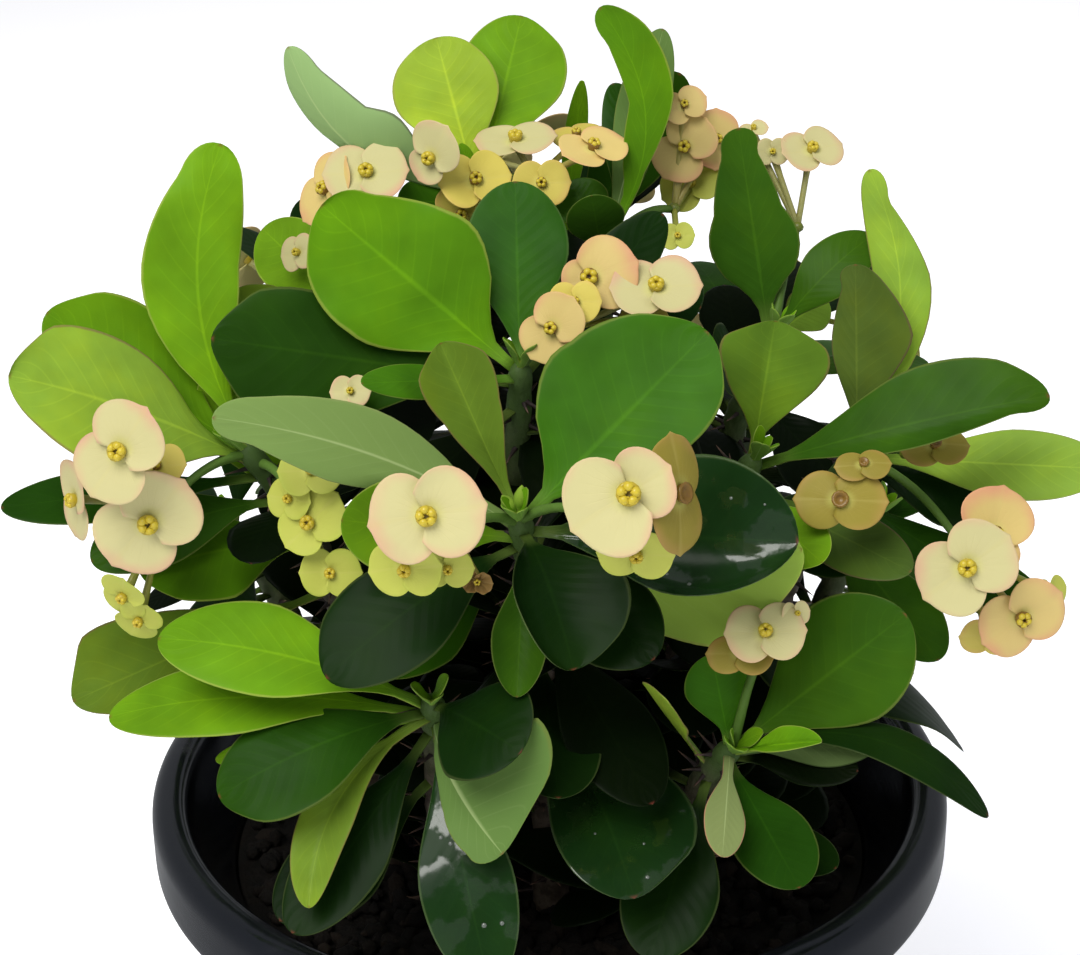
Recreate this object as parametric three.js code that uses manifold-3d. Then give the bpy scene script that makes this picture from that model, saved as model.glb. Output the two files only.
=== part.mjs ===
import * as THREE from 'three';
import { mergeVertices } from 'three/addons/utils/BufferGeometryUtils.js';
import Module from 'manifold-3d';

// Crown of thorns (Euphorbia milii, large-leaf hybrid) in a nursery pot.
// Millimetres, +Z up. The origin is on the pot's underside, at its centre. -Y is the front.

// Pot: a moulded shell with a hollow rolled rim.
const RIM_RADIUS = 120;
const POT_HEIGHT = 200;
const FOOT_RADIUS = 80;
const NECK_RADIUS = 99;
const NECK_HEIGHT = 174;
const MOUTH_RADIUS = 108;
const WALL = 2.4;
const RIM_DEPTH = 20;
const RIM_HOLLOW = 2.6;
const LIP_ROUND = 6;
const FOOT_ROUND = 1.5;
const FLOOR_RADIUS = FOOT_RADIUS + FOOT_ROUND - WALL;
const POT_SIDES = 28;
const DRAIN_HOLES = 8;
const DRAIN_RADIUS = 6;
const DRAIN_CIRCLE = 62;

// Soil: fills the pot to a little under the rim, a plain hole for each stem.
const SOIL_TOP = 176;
const SOIL_EDGE_DROP = 3;
const SOIL_FLAT_SHARE = 0.7;
const GAP = 0.3;
const HOLE_ROOM = 1.8;
const ROOT_DEPTH = 10;

// Stems: woody, five-sided here, with a spiral of thorns.
const STEM_TIP_RADIUS = 3.2;
const STEM_SWELL = 2.4;
const STEM_SIDES = 5;
const STEM_STEPS = 4;
const STEM_BEND_SHARE = 0.62;
const THORN_START = 10;
const THORN_STEP = 36;
const THORN_REACH = 6.5;
const THORN_RADIUS = 1.1;
const THORN_SINK = 0.9;
const THORN_LEAN = 1.5;
const GOLDEN_ANGLE = 137.5;

// Leaves: spatula-shaped blades, split alike on both faces.
const LEAF_THICKNESS = 0.8;
const LEAF_STATIONS = [0, 0.22, 0.45, 0.68, 0.87, 1];
const SHORT_STATIONS = [0, 0.3, 0.6, 0.85, 1];
const SMALL_LEAF = 33;
const LEAF_BELLY = 0.64;
const LEAF_TAPER = 1.15;
const LEAF_BLUNTNESS = 0.5;
const LEAF_ROOT = 1.5;
const LEAF_APEX = 0.7;
const LEAF_ROOT_SHARE = 0.6;
const OUTLINE_AT = [0, 0.3, 0.6, 0.88, 1];
const PLAIN_SIDE = [1, 1, 1];
const CURL_SCALE = 6.75;
const FORM_EASE = 0.3;
const TWIST_AT = 0.35;
const WAVE_SHIFT = 1.9;
const FAN_WIDTH_SHARE = 0.4;
const FAN_LEAN = 0.35;
const FAN_ARCH = 0.08;
const FAN_FIRST_DROP = 3;
const FAN_DROP_STEP = 4;

// Blooms: two round bracts about a small cup.
const BRACT_THICKNESS = 0.8;
const BRACT_OFFSET_SHARE = 0.2;
const BRACT_LENGTH_SHARE = 0.32;
const BRACT_WIDTH_SHARE = 0.4;
const BRACT_DISH_SHARE = 0.04;
const BRACT_STAGGER = 0.5;
const WAIST_SHARE = 0.31;
const LARGE_BLOOM = 20;
const CUP_DEPTH = 2;
const CUP_HEIGHT = 2.2;
const CUP_SHARE = 0.1;
const CUP_TAPER = 0.8;
const LARGE_LOBE = [-105, -52, 0, 52, 105];
const SMALL_LOBE = [-75, 0, 75];
const NECK_OF_BLOOM = 1.1;
const SEAT_OF_BRACTS = 1.3;

// Flower stalks: each ends a little short of its head's fork, where a knuckle holds the branches.
const STALK_RADII = [1.4, 1.2, 1.1];
const STALK_BOW = 0.12;
const BRANCH_START = 0.8;
const BRANCH_RADIUS = 0.9;
const KNUCKLE_REACH = 1.4;
const KNUCKLE_RADIUS = 1.5;

// Joining leaves edges shorter than this, and they are closed up.
const SPECK = 0.003;

// Each stem has its foot in the soil and its tip. A leaf is: how far down from the stem's tip it
// grows, the place of its own tip, its width, the way its upper face looks, and its form. A fan leaf
// is: heading, rise (degrees) and length.
const STEMS = {
  front_left: {
    foot: [-30, -52], tip: [-30, -88, 274],
    leaves: [
      [3, [-7, -112, 273], 30, [1, -8, 6], { arch: 0.1 }],
      [12, [-12, -121, 249], 32, [2, 8, -1],
        { arch: -0.12, cup: -0.3, twist: -30, left: [0.5, 0.4, 0.6], right: [1.2, 2, 1.9] }],
      [6, [-99, -86, 292], 26, [-1, -5, 9], { arch: 0.1, right: [1, 1.1, 1.1] }],
      [12, [-114, -84, 268], 23, [-1, -4, 9], { arch: 0.1 }],
      [8, [-84, -104, 256], 28, [-2, -6, 8], { arch: 0.1, left: [1, 1.1, 1.2] }],
      [8, [-61, -120, 233], 15, [-3, -8, 4], { fold: 0.3, sway: 0.15 }],
      [18, [-66, -118, 224], 23, [-4, -8, 4]],
      [12, [-16, -126, 213], 25, [0, -9, 4], { arch: 0.1 }],
      [44, [-72, -96, 212], 26, [-3, -7, 7]],
      [10, [-88, -80, 252], 9, [-1, -8, 4]],
    ],
  },
  front: {
    foot: [0, -36], tip: [-7, -80, 322],
    leaves: [
      [6, [-79, -98, 358], 24, [0, 9, -1],
        { sway: -0.06, left: [1.2, 0.95, 0.8], right: [1, 0.9, 0.6] }],
      [12, [-50, -95, 329], 25, [-1, -9, 3]],
      [3, [-26, -62, 362], 20, [2, -8, 3],
        { fold: 0.5, left: [0.9, 0.95, 1.5], right: [0.8, 0.85, 1.3] }],
      [4, [41, -62, 364], 32, [-1, -8, 6],
        { cup: 0.15, left: [2.4, 1.5, 1.3], right: [1.5, 1.1, 1.2] }],
      [8, [61, -100, 324], 42, [0, -9, 4], { cup: 0.1, cup_r: 1.5 }],
      [6, [6, -114, 297], 32, [1, -7, 7], { arch: 0.15, cup: 0.5, cup_r: 1.5, left: [1.1, 1.2, 1.2] }],
      [14, [-8, -106, 285], 16, [0, -8, 5], { cup: 0.8 }],
      [14, [-55, -104, 290], 28, [-3, -7, 6], { arch: 0.1, right: [1, 1.1, 1.2] }],
      [84, [21, -115, 231], 35, [2, -7, 6], { arch: 0.1, left: [1.2, 1.3, 1.5], right: [0.8, 0.8, 1] }],
      [44, [26, -104, 252], 25, [3, -8, 4]],
      [24, [26, -104, 294], 26, [2, -8, 5], { arch: 0.1 }],
      [62, [2, -110, 258], 26, [1, -8, 5]],
      [44, [63, -92, 318], 29, [0, 9, -2], { left: [1.6, 1.5, 1.1] }],
    ],
  },
  front_right: {
    foot: [36, -50], tip: [48, -86, 257],
    leaves: [
      [4, [42, -125, 250], 11, [0, 9, -3]],
      [3, [42, -82, 283], 18, [0, -9, 3]],
      [3, [91, -84, 295], 31, [-2, -8, 5], { left: [1.1, 1.1, 1.1], right: [1.1, 1.1, 1.1] }],
      [3, [68, -106, 271], 10, [0, -6, 8], { fold: 0.7 }],
      [4, [86, -92, 264], 14, [0, 6, -6]],
      [8, [112, -62, 242], 28, [1, -1, 9], { arch: 0.3 }],
      [10, [113, -98, 243], 14, [1, -3, 9], { arch: 0.28 }],
      [8, [62, -120, 237], 22, [2, -8, 5]],
      [22, [25, -112, 210], 26, [-2, -8, 5]],
      [8, [79, -96, 256], 12, [0, -6, 8]],
      [44, [74, -100, 229], 17, [3, -7, 7]],
      [22, [28, -122, 293], 16, [-5, -7, 3], { sway: -0.1 }],
    ],
  },
  middle: {
    foot: [-10, -8], tip: [-6, -42, 348],
    leaves: [
      [6, [-7, -12, 388], 28, [0, -9, 4]],
      [4, [-57, -30, 388], 36, [1, -9, 4],
        { cup: 0.2, wave: 0.03, left: [1.5, 1.2, 1.2], right: [1.9, 1.15, 0.8] }],
      [8, [-86, -44, 357], 28, [-1, -8, 5], { left: [1.2, 1.35, 1.5], right: [1, 1.1, 1.4] }],
      [6, [-45, -76, 357], 12, [0, -6, 8]],
      [6, [32, -20, 381], 17, [0, -8, 4]],
      [16, [-46, -78, 318], 24, [-1, -6, 8]],
      [74, [-50, -60, 268], 26, [-1, -7, 6]],
      [62, [34, -64, 290], 26, [1, -7, 6]],
    ],
  },
  right: {
    foot: [34, -14], tip: [55, -52, 325],
    leaves: [
      [3, [60, -42, 359], 27, [1, -9, 2], { fold: 0.4, left: [0.9, 1, 1.5], right: [1, 1.1, 1.4] }],
      [6, [127, -66, 347], 26, [0, -8, 6],
        { arch: 0.08, cup_r: 1.2, left: [1.1, 1.1, 1.2], right: [1, 0.72, 0.45] }],
      [14, [92, -82, 306], 18, [0, -7, 7]],
      [15, [68, -92, 314], 17, [0, -8, 5], { right: [1, 1.2, 1.2] }],
      [18, [82, -70, 302], 20, [0, -7, 7]],
      [54, [84, -64, 258], 26, [1, -7, 6]],
    ],
  },
  far_right: {
    foot: [60, 4], tip: [87, -28, 317],
    leaves: [
      [3, [90, 10, 383], 18, [-2, -9, 3],
        { sway: 0.13, left: [0.9, 0.8, 0.9], right: [1.35, 0.95, 0.25] }],
      [4, [85, -8, 362], 22, [-3, -8, 2],
        { cup: 0.2, left: [0.8, 0.62, 0.45], right: [1.5, 1.5, 1.1] }],
      [6, [148, -50, 319], 20, [0, -8, 6]],
      [10, [125, -34, 305], 26, [0, -7, 7]],
      [20, [136, -62, 278], 19, [0, -6, 8]],
      [14, [66, -58, 300], 22, [0, -8, 5]],
      [30, [104, -64, 270], 22, [1, -6, 8]],
    ],
  },
  left: {
    foot: [-48, -14], tip: [-80, -45, 327],
    leaves: [
      [4, [-84, -14, 400], 30, [2, -9, 2],
        { sway: -0.12, wave: 0.05, left: [1.3, 1, 0.72], right: [1, 0.75, 0.85] }],
      [6, [-130, -34, 361], 27, [-2, -5, 9], { right: [1.3, 1.35, 1.4] }],
      [10, [-133, -70, 358], 31, [0, -6, 8],
        { arch: 0.06, wave: 0.04, left: [1.3, 1.4, 1], right: [1.1, 1.25, 1.5] }],
      [34, [-87, -34, 346], 24, [1, -9, 2]],
      [60, [-128, -62, 260], 26, [-1, -6, 8], { left: [0.4, 0.5, 1], right: [1, 1.2, 1.8] }],
      [44, [-107, -60, 297], 26, [-1, -6, 8], { arch: 0.1, left: [1, 1.2, 1.2], right: [1, 1.3, 2.1] }],
      [14, [-142, -58, 316], 17, [-1, -5, 8]],
      [24, [-120, -58, 300], 22, [0, -6, 8], { arch: 0.1 }],
      [72, [-98, -34, 252], 26, [-1, -7, 6]],
    ],
  },
  upper_left: {
    foot: [-34, 22], tip: [-55, 0, 351],
    leaves: [
      [4, [-80, 29, 362], 22, [-2, -8, 5]],
      [10, [-104, 2, 336], 26, [-2, -6, 8]],
      [4, [-84, -20, 358], 14, [-1, -6, 7]],
    ],
  },
  top: {
    foot: [14, 14], tip: [17, -4, 369],
    leaves: [
      [3, [16, 8, 430], 20, [-3, -9, 1],
        { sway: 0.2, cup: 0.3, left: [1.2, 0.42, 0.5], right: [0.3, 0.9, 1.1] }],
      [3, [20, 22, 405], 14, [0, -9, 3], { sway: 0.12 }],
      [3, [8, 10, 381], 16, [0, -9, 4]],
      [8, [13, -22, 387], 16, [0, -9, 2]],
      [14, [42, -24, 356], 22, [0, -8, 5]],
      [112, [22, -34, 254], 26, [1, -7, 6]],
      [5, [34, 26, 419], 15, [0, 9, 2]],
    ],
  },
  top_left: {
    foot: [-10, 34], tip: [-18, 18, 378],
    leaves: [
      [3, [-69, 24, 416], 21, [2.5, 8, 3.5],
        { arch: -0.14, sway: 0.1, cup: 0.5, left: [2.9, 1.2, 0.8], right: [0.4, 0.5, 1] }],
      [4, [-29, 40, 414], 31, [0, -8, 6], { left: [1, 1.05, 1.1], right: [0.9, 0.9, 0.9] }],
      [4, [-5, 56, 416], 29, [0, -8, 5], { right: [0.92, 1.15, 1.25] }],
      [6, [-40, 12, 375], 14, [0, -8, 5]],
    ],
  },
  top_right: {
    foot: [42, 26], tip: [65, 2, 339],
    leaves: [
      [4, [54, 11, 395], 25, [-1, -9, 3], { left: [1.9, 0.85, 0.62], right: [1.9, 0.72, 0.45] }],
      [4, [92, 10, 364], 17, [1, -6, 8], { arch: 0.16 }],
      [3, [81, 20, 342], 14, [0, -8, 5]],
      [14, [46, -20, 340], 22, [0, -8, 5]],
    ],
  },
  back: {
    foot: [6, 56], tip: [6, 76, 338],
    leaves: [
      [5, [41, 58, 398], 24, [2, -8, 4]],
      [3, [12, 40, 401], 7, [0, -9, 3]],
    ],
    fan: [[50, 52, 44], [158, 45, 62], [18, 45, 62], [100, 15, 70],
      [60, 5, 66], [135, 0, 64], [90, -20, 60]],
  },
  back_left: {
    foot: [-42, 42], tip: [-60, 60, 318],
    fan: [[168, 42, 52], [110, 40, 58], [185, 20, 56], [130, 8, 66],
      [165, -5, 64], [100, -10, 60], [215, 0, 44], [150, -35, 56]],
  },
  back_right: {
    foot: [46, 46], tip: [68, 60, 312],
    fan: [[72, 20, 46], [20, 30, 56], [104, 18, 60], [-5, 10, 56],
      [40, 0, 66], [70, -15, 60], [10, -18, 54], [95, -38, 54]],
  },
  side_left: {
    foot: [-66, 14], tip: [-96, 24, 272],
    fan: [[85, 20, 46], [130, 0, 52], [170, 30, 34], [215, -8, 38],
      [255, 0, 50], [180, -45, 44], [140, -38, 52]],
  },
  side_right: {
    foot: [74, 22], tip: [100, 26, 270],
    fan: [[80, 25, 50], [50, 0, 50], [15, 25, 30], [-30, -12, 36],
      [-75, 0, 48], [5, -45, 44], [45, -38, 52]],
  },
  low_back: {
    foot: [-18, 74], tip: [-22, 96, 270],
    fan: [[145, 26, 52], [90, 0, 60], [60, 20, 50], [150, -12, 52],
      [110, -38, 54]],
  },
  low_back_right: {
    foot: [28, 76], tip: [40, 98, 262],
    fan: [[85, 15, 56], [50, -5, 56], [20, 15, 50], [115, -20, 48],
      [70, -42, 54]],
  },
};

// Each flower head has a forked stalk. A bloom is: its centre, the way it faces, its turn in its own
// plane (degrees) and its span.
const HEADS = {
  left_outer: {
    stem: 'left', drop: 4, fork: [-98, -62, 318],
    blooms: [
      [[-104, -88, 345], [-3, -9, 4], 60, 25],
      [[-119, -75, 326], [-8, -5, 1], 80, 20],
      [[-99, -85, 324], [1, -9, 1], 48, 27],
      [[-97, -77, 336], [0, -6, 8], 0, 14],
      [[-108, -80, 301], [-4, -8, -3], 70, 15],
      [[-105, -78, 293], [-2, -9, -3], 60, 14],
    ],
  },
  left_inner: {
    stem: 'left', drop: 8, fork: [-64, -62, 318],
    blooms: [
      [[-60, -78, 320], [-2, -8, 5], 50, 20, 0.8],
      [[-59, -74, 333], [0, -7, 7], 0, 16],
      [[-65, -74, 325], [-3, -8, 4], 0, 12],
      [[-55, -80, 307], [0, -9, 3], 0, 15],
      [[-50, -52, 345], [0, -8, 5], 0, 10],
    ],
  },
  front_left: {
    stem: 'front', drop: 4, fork: [-22, -98, 326],
    blooms: [
      [[-28, -118, 341], [0, -9, 3], 10, 26],
      [[-34, -112, 324], [-1, -9, 0], 10, 17],
      [[-24, -108, 322], [1, -9, 0], 0, 12],
      [[-17, -105, 317], [0, -9, 2], 0, 9],
    ],
  },
  front_right: {
    stem: 'front', drop: 2, fork: [14, -100, 330],
    blooms: [
      [[19, -118, 346], [-1, -9, 3], 215, 30, 0.72],
      [[32, -112, 343], [7, -6, 3], 80, 27],
      [[21, -112, 327], [0, -9, -2], 0, 17],
    ],
  },
  middle: {
    stem: 'middle', drop: 1, fork: [8, -36, 356],
    blooms: [
      [[12, -38, 370], [-1, -8, 5], 20, 24, 0.6],
      [[29, -42, 369], [0, -5, 8], 0, 22],
      [[2, -48, 360], [-3, -8, 4], 60, 18],
      [[8, -45, 366], [0, -8, 5], 0, 13],
      [[26, -40, 360], [0, -9, 3], 0, 12],
    ],
  },
  top_left: {
    stem: 'top_left', drop: 1, fork: [-22, 8, 382],
    blooms: [
      [[-30, 0, 391], [-5, -8, 2], 62, 20, 0.7],
      [[-18, 3, 384], [2, -7, 6], 0, 19],
      [[-22, 4, 374], [0, -9, 0], 90, 17],
    ],
  },
  top_centre: {
    stem: 'top_left', drop: 2, fork: [-2, 14, 380],
    blooms: [
      [[-7, 18, 391], [0, -2, 9], 0, 21],
      [[10, 24, 390], [0, -2, 9], 0, 14],
      [[0, 2, 383], [0, -8, 4], 0, 15],
      [[14, -4, 395], [2, -3, 9], 0, 18],
    ],
  },
  upper_left: {
    stem: 'upper_left', drop: 2, fork: [-58, 10, 366],
    blooms: [
      [[-48, 8, 385], [0, -6, 7], 0, 22],
      [[-60, 12, 379], [-6, -5, 5], 70, 21],
      [[-68, 8, 362], [-5, -7, 4], 20, 12],
    ],
  },
  top_right: {
    stem: 'top', drop: 3, fork: [37, 15, 371],
    blooms: [
      [[40, 20, 387], [-2, -8, 5], 60, 19],
      [[49, 24, 388], [3, -8, 4], 80, 16],
      [[40, 24, 398], [0, -7, 6], 20, 12],
      [[42, 22, 376], [-2, -7, 6], 34, 17],
      [[37, 0, 368], [0, -8, 5], 0, 9],
    ],
  },
  top_far: {
    stem: 'top_right', drop: 2, fork: [72, 18, 364],
    blooms: [
      [[65, 25, 384], [0, -9, 3], 0, 9],
      [[76, 24, 385], [2, -5, 8], 0, 17],
      [[60, 30, 389], [0, -4, 9], 0, 8],
    ],
  },
  right_inner: {
    stem: 'far_right', drop: 2, fork: [82, -55, 314],
    blooms: [
      [[73, -83, 327], [-1, -8, 5], 0, 22],
      [[79, -79, 335], [0, -5, 8], 0, 13],
    ],
  },
  right_outer: {
    stem: 'far_right', drop: 6, fork: [110, -58, 300],
    blooms: [
      [[106, -82, 307], [-1, -9, 3], 40, 25],
      [[114, -74, 312], [2, -8, 5], 70, 24, 0.8],
      [[122, -78, 290], [2, -9, 1], 30, 22],
      [[132, -66, 291], [6, -7, 3], 0, 10],
      [[115, -72, 281], [0, -9, -2], 0, 14],
    ],
  },
  low_right: {
    stem: 'front_right', drop: 1, fork: [54, -86, 284],
    blooms: [
      [[54, -96, 297], [0, -6, 8], 0, 19],
      [[62, -92, 300], [3, -8, 4], 0, 7],
      [[48, -94, 290], [-1, -6, 8], 0, 16],
    ],
  },
  right_high: {
    stem: 'far_right', drop: 3, fork: [96, -40, 320],
    blooms: [
      [[102, -50, 327], [0, -5, 8], 0, 17],
    ],
  },
  back: {
    stem: 'back', drop: 1, fork: [8, 92, 356],
    blooms: [
      [[10, 102, 368], [0, 6, 8], 20, 26],
      [[-14, 108, 358], [-3, 8, 5], 60, 25],
      [[28, 112, 352], [4, 8, 3], 100, 24],
    ],
  },
  back_left: {
    stem: 'back_left', drop: 1, fork: [-78, 78, 322],
    blooms: [
      [[-92, 84, 334], [-5, 7, 4], 30, 26],
      [[-74, 104, 328], [-2, 9, 3], 80, 25],
      [[-106, 68, 322], [-8, 4, 3], 10, 22],
    ],
  },
  back_right: {
    stem: 'back_right', drop: 1, fork: [84, 78, 314],
    blooms: [
      [[96, 90, 322], [5, 7, 4], 30, 26],
      [[80, 108, 314], [2, 9, 3], 70, 25],
      [[112, 74, 310], [8, 4, 3], 0, 22],
    ],
  },
  low_back: {
    stem: 'low_back', drop: 1, fork: [-24, 116, 286],
    blooms: [
      [[-20, 136, 300], [0, 9, 3], 20, 26],
      [[-38, 130, 290], [-3, 9, 1], 70, 22],
    ],
  },
  low_back_right: {
    stem: 'low_back_right', drop: 1, fork: [52, 116, 272],
    blooms: [
      [[54, 134, 284], [3, 9, 2], 20, 26],
      [[70, 122, 274], [6, 7, 1], 60, 22],
    ],
  },
};

const wasm = await Module();
wasm.setup();

const UP = new THREE.Vector3(0, 0, 1);
// A direction that no stem or stalk runs along, so that a ring about one can be turned from it.
const OFF_AXIS = new THREE.Vector3(0.3, 1, 0.2);
const vec = (p) => new THREE.Vector3(...p);
const { degToRad, lerp } = THREE.MathUtils;

// ---- solids ----

const manifoldOf = (vertProperties, triVerts) => (
  new wasm.Manifold(new wasm.Mesh({ numProp: 3, vertProperties, triVerts })));

function solid(points, faces) {
  const flat = new Float32Array(points.flatMap((p) => [p.x, p.y, p.z]));
  let six = 0;
  for (const [a, b, c] of faces) six += points[a].dot(points[b].clone().cross(points[c]));
  const out = six < 0 ? faces.map(([a, b, c]) => [a, c, b]) : faces;
  return manifoldOf(flat, new Uint32Array(out.flat()));
}

function fromGeometry(geometry) {
  const bare = geometry.clone();
  bare.deleteAttribute('normal');
  bare.deleteAttribute('uv');
  const merged = mergeVertices(bare, 1e-4);
  return manifoldOf(new Float32Array(merged.attributes.position.array), new Uint32Array(merged.index.array));
}

const joined = (solids) => solids.reduce((sum, next) => sum.add(next));

// The outer skin alone: a hollow that joining sealed is filled and a loose scrap is dropped.
const whole = (body) => body.decompose()
  .reduce((most, next) => (next.volume() > most.volume() ? next : most))
  .simplify(SPECK);

function meshOf(name, body, material) {
  const { vertProperties, triVerts } = body.getMesh();
  const geometry = new THREE.BufferGeometry();
  geometry.setAttribute('position', new THREE.BufferAttribute(new Float32Array(vertProperties), 3));
  geometry.setIndex(new THREE.BufferAttribute(new Uint32Array(triVerts), 1));
  geometry.computeVertexNormals();
  const mesh = new THREE.Mesh(geometry, material);
  mesh.name = name;
  return mesh;
}

const around = (middle, x, y, radius, angle) => middle.clone()
  .addScaledVector(x, radius * Math.cos(angle))
  .addScaledVector(y, radius * Math.sin(angle));

// A tube of any number of rings along points, closed at both ends. Without ways, each ring looks
// from the point before it to the point after it.
function tube(points, radii, sides, ways) {
  const ring = [];
  const faces = [];
  points.forEach((p, i) => {
    const before = points[Math.max(i - 1, 0)];
    const after = points[Math.min(i + 1, points.length - 1)];
    const along = ways ? ways[i] : after.clone().sub(before).normalize();
    const x = along.clone().cross(OFF_AXIS).normalize();
    const y = along.clone().cross(x);
    for (let k = 0; k < sides; k++) ring.push(around(p, x, y, radii[i], (2 * Math.PI * k) / sides));
  });
  for (let i = 0; i < points.length - 1; i++) {
    for (let k = 0; k < sides; k++) {
      const a = i * sides + k;
      const b = i * sides + ((k + 1) % sides);
      faces.push([a, b, b + sides], [a, b + sides, a + sides]);
    }
  }
  const last = (points.length - 1) * sides;
  for (let k = 1; k < sides - 1; k++) {
    faces.push([0, k + 1, k], [last, last + k, last + k + 1]);
  }
  return solid(ring, faces);
}

// ---- leaves ----

const leafShare = (s) => {
  const g = s ** (Math.log(0.5) / Math.log(LEAF_BELLY));
  const fullness = s < LEAF_BELLY ? LEAF_TAPER : LEAF_BLUNTNESS;
  return Math.max(0, Math.sin(Math.PI * Math.min(g, 1))) ** fullness;
};

// How much of its plain width one side of a blade has at s.
const sideShare = (shares, s) => {
  const at = Math.max(1, OUTLINE_AT.findIndex((place) => place >= s));
  const along = (s - OUTLINE_AT[at - 1]) / (OUTLINE_AT[at] - OUTLINE_AT[at - 1]);
  return lerp(shares[at - 1], shares[at], along);
};

// A blade's surface: s runs along the midrib and t across it.
class Blade {
  constructor(base, tip, width, faces, form = {}) {
    this.base = base;
    this.width = width;
    this.length = base.distanceTo(tip);
    this.along = tip.clone().sub(base).normalize();
    this.up = faces.clone().addScaledVector(this.along, -faces.dot(this.along)).normalize();
    this.side = this.along.clone().cross(this.up);
    const { arch = 0, curl = 0, sway = 0, cup = 0, fold = 0, twist = 0, wave = 0 } = form;
    Object.assign(this, { arch, curl, sway, cup, fold, twist, wave });
    this.cupRight = form.cup_r ?? cup;
    this.left = [1, ...(form.left ?? PLAIN_SIDE), 1];
    this.right = [1, ...(form.right ?? PLAIN_SIDE), 1];
  }

  frame(s) {
    const hump = 4 * s * (1 - s) * this.length;
    const slope = 4 * (1 - 2 * s) * this.length;
    const dip = CURL_SCALE * s * s * (s - 1) * this.length;
    const dipSlope = CURL_SCALE * (3 * s * s - 2 * s) * this.length;
    const p = this.base.clone()
      .addScaledVector(this.along, this.length * s)
      .addScaledVector(this.up, this.arch * hump + this.curl * dip)
      .addScaledVector(this.side, this.sway * hump);
    const tangent = this.along.clone().multiplyScalar(this.length)
      .addScaledVector(this.up, this.arch * slope + this.curl * dipSlope)
      .addScaledVector(this.side, this.sway * slope)
      .normalize();
    const normal = this.up.clone().addScaledVector(tangent, -this.up.dot(tangent)).normalize();
    const across = tangent.clone().cross(normal);
    const turn = degToRad(this.twist) * (s - TWIST_AT);
    const n = normal.clone().multiplyScalar(Math.cos(turn)).addScaledVector(across, Math.sin(turn));
    const b = across.clone().multiplyScalar(Math.cos(turn)).addScaledVector(normal, -Math.sin(turn));
    return { p, n, b };
  }

  // One point of the surface, moved by half the thickness along its own normal.
  point(s, t, offset) {
    const { p, n, b } = this.frame(s);
    const sign = t < 0 ? -1 : 1;
    const u = Math.abs(t);
    const ease = Math.min(1, s / FORM_EASE);
    const fold = this.fold * ease;
    const cup = (t < 0 ? this.cup : this.cupRight) * ease;
    const plain = Math.max(LEAF_ROOT * (1 - s) + LEAF_APEX * s, (this.width / 2) * leafShare(s));
    const half = plain * sideShare(t < 0 ? this.left : this.right, s);
    const flat = Math.abs(cup) < 1e-6;
    const out = flat ? u * Math.cos(fold) : (Math.sin(fold + cup * u) - Math.sin(fold)) / cup;
    const lift = flat ? u * Math.sin(fold) : (Math.cos(fold) - Math.cos(fold + cup * u)) / cup;
    const phase = 4 * Math.PI * s + (t < 0 ? 0 : WAVE_SHIFT);
    const ripple = this.wave * this.width * Math.sin(phase) * u * u * ease;
    const lean = fold + cup * u;
    return p
      .addScaledVector(b, sign * (half * out - offset * Math.sin(lean)))
      .addScaledVector(n, half * lift + ripple + offset * Math.cos(lean));
  }

  // The slab between two faces that are split alike. A creased blade has a point on its midrib
  // between its two edges, and each end is a three-sided stub.
  solid(stations) {
    const creased = this.fold || this.cup || this.cupRight || this.wave;
    const top = creased ? [-1, 0, 1] : [-1, 1];
    const corners = [...top.map((t) => [t, 1]), ...top.toReversed().map((t) => [t, -1])];
    const stub = [[-1, 1], [1, 1], [0, -1]];
    const n = corners.length;
    const points = [];
    const faces = [];
    stations.forEach((s, i) => {
      const ring = i === 0 || i === stations.length - 1 ? stub : corners;
      for (const [t, face] of ring) points.push(this.point(s, t, (face * LEAF_THICKNESS) / 2));
    });
    const rings = stations.length - 2;
    for (let i = 0; i < rings - 1; i++) {
      const from = stub.length + i * n;
      for (let k = 0; k < n; k++) {
        const [a, b] = [from + k, from + ((k + 1) % n)];
        const [c, d] = [b + n, a + n];
        const under = k >= top.length && k < n - 1;
        faces.push(...(under ? [[a, b, d], [b, c, d]] : [[a, b, c], [a, c, d]]));
      }
    }
    const last = stub.length + rings * n;
    faces.push([0, 2, 1], [last, last + 1, last + 2]);
    for (const [end, ring, flip] of [[0, stub.length, false], [last, last - n, true]]) {
      const half = n / 2;
      const fan = [];
      for (let k = 1; k < half; k++) {
        fan.push([end, ring + k, ring + k - 1], [end + 2, ring + half + k, ring + half + k - 1]);
      }
      fan.push([end, end + 1, ring + half - 1], [end + 1, end + 2, ring + half]);
      fan.push([end + 1, ring + half, ring + half - 1]);
      fan.push([end + 2, end, ring], [end + 2, ring, ring + n - 1]);
      faces.push(...fan.map(([a, b, c]) => (flip ? [a, c, b] : [a, b, c])));
    }
    return solid(points, faces);
  }
}

// ---- stems ----

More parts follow.
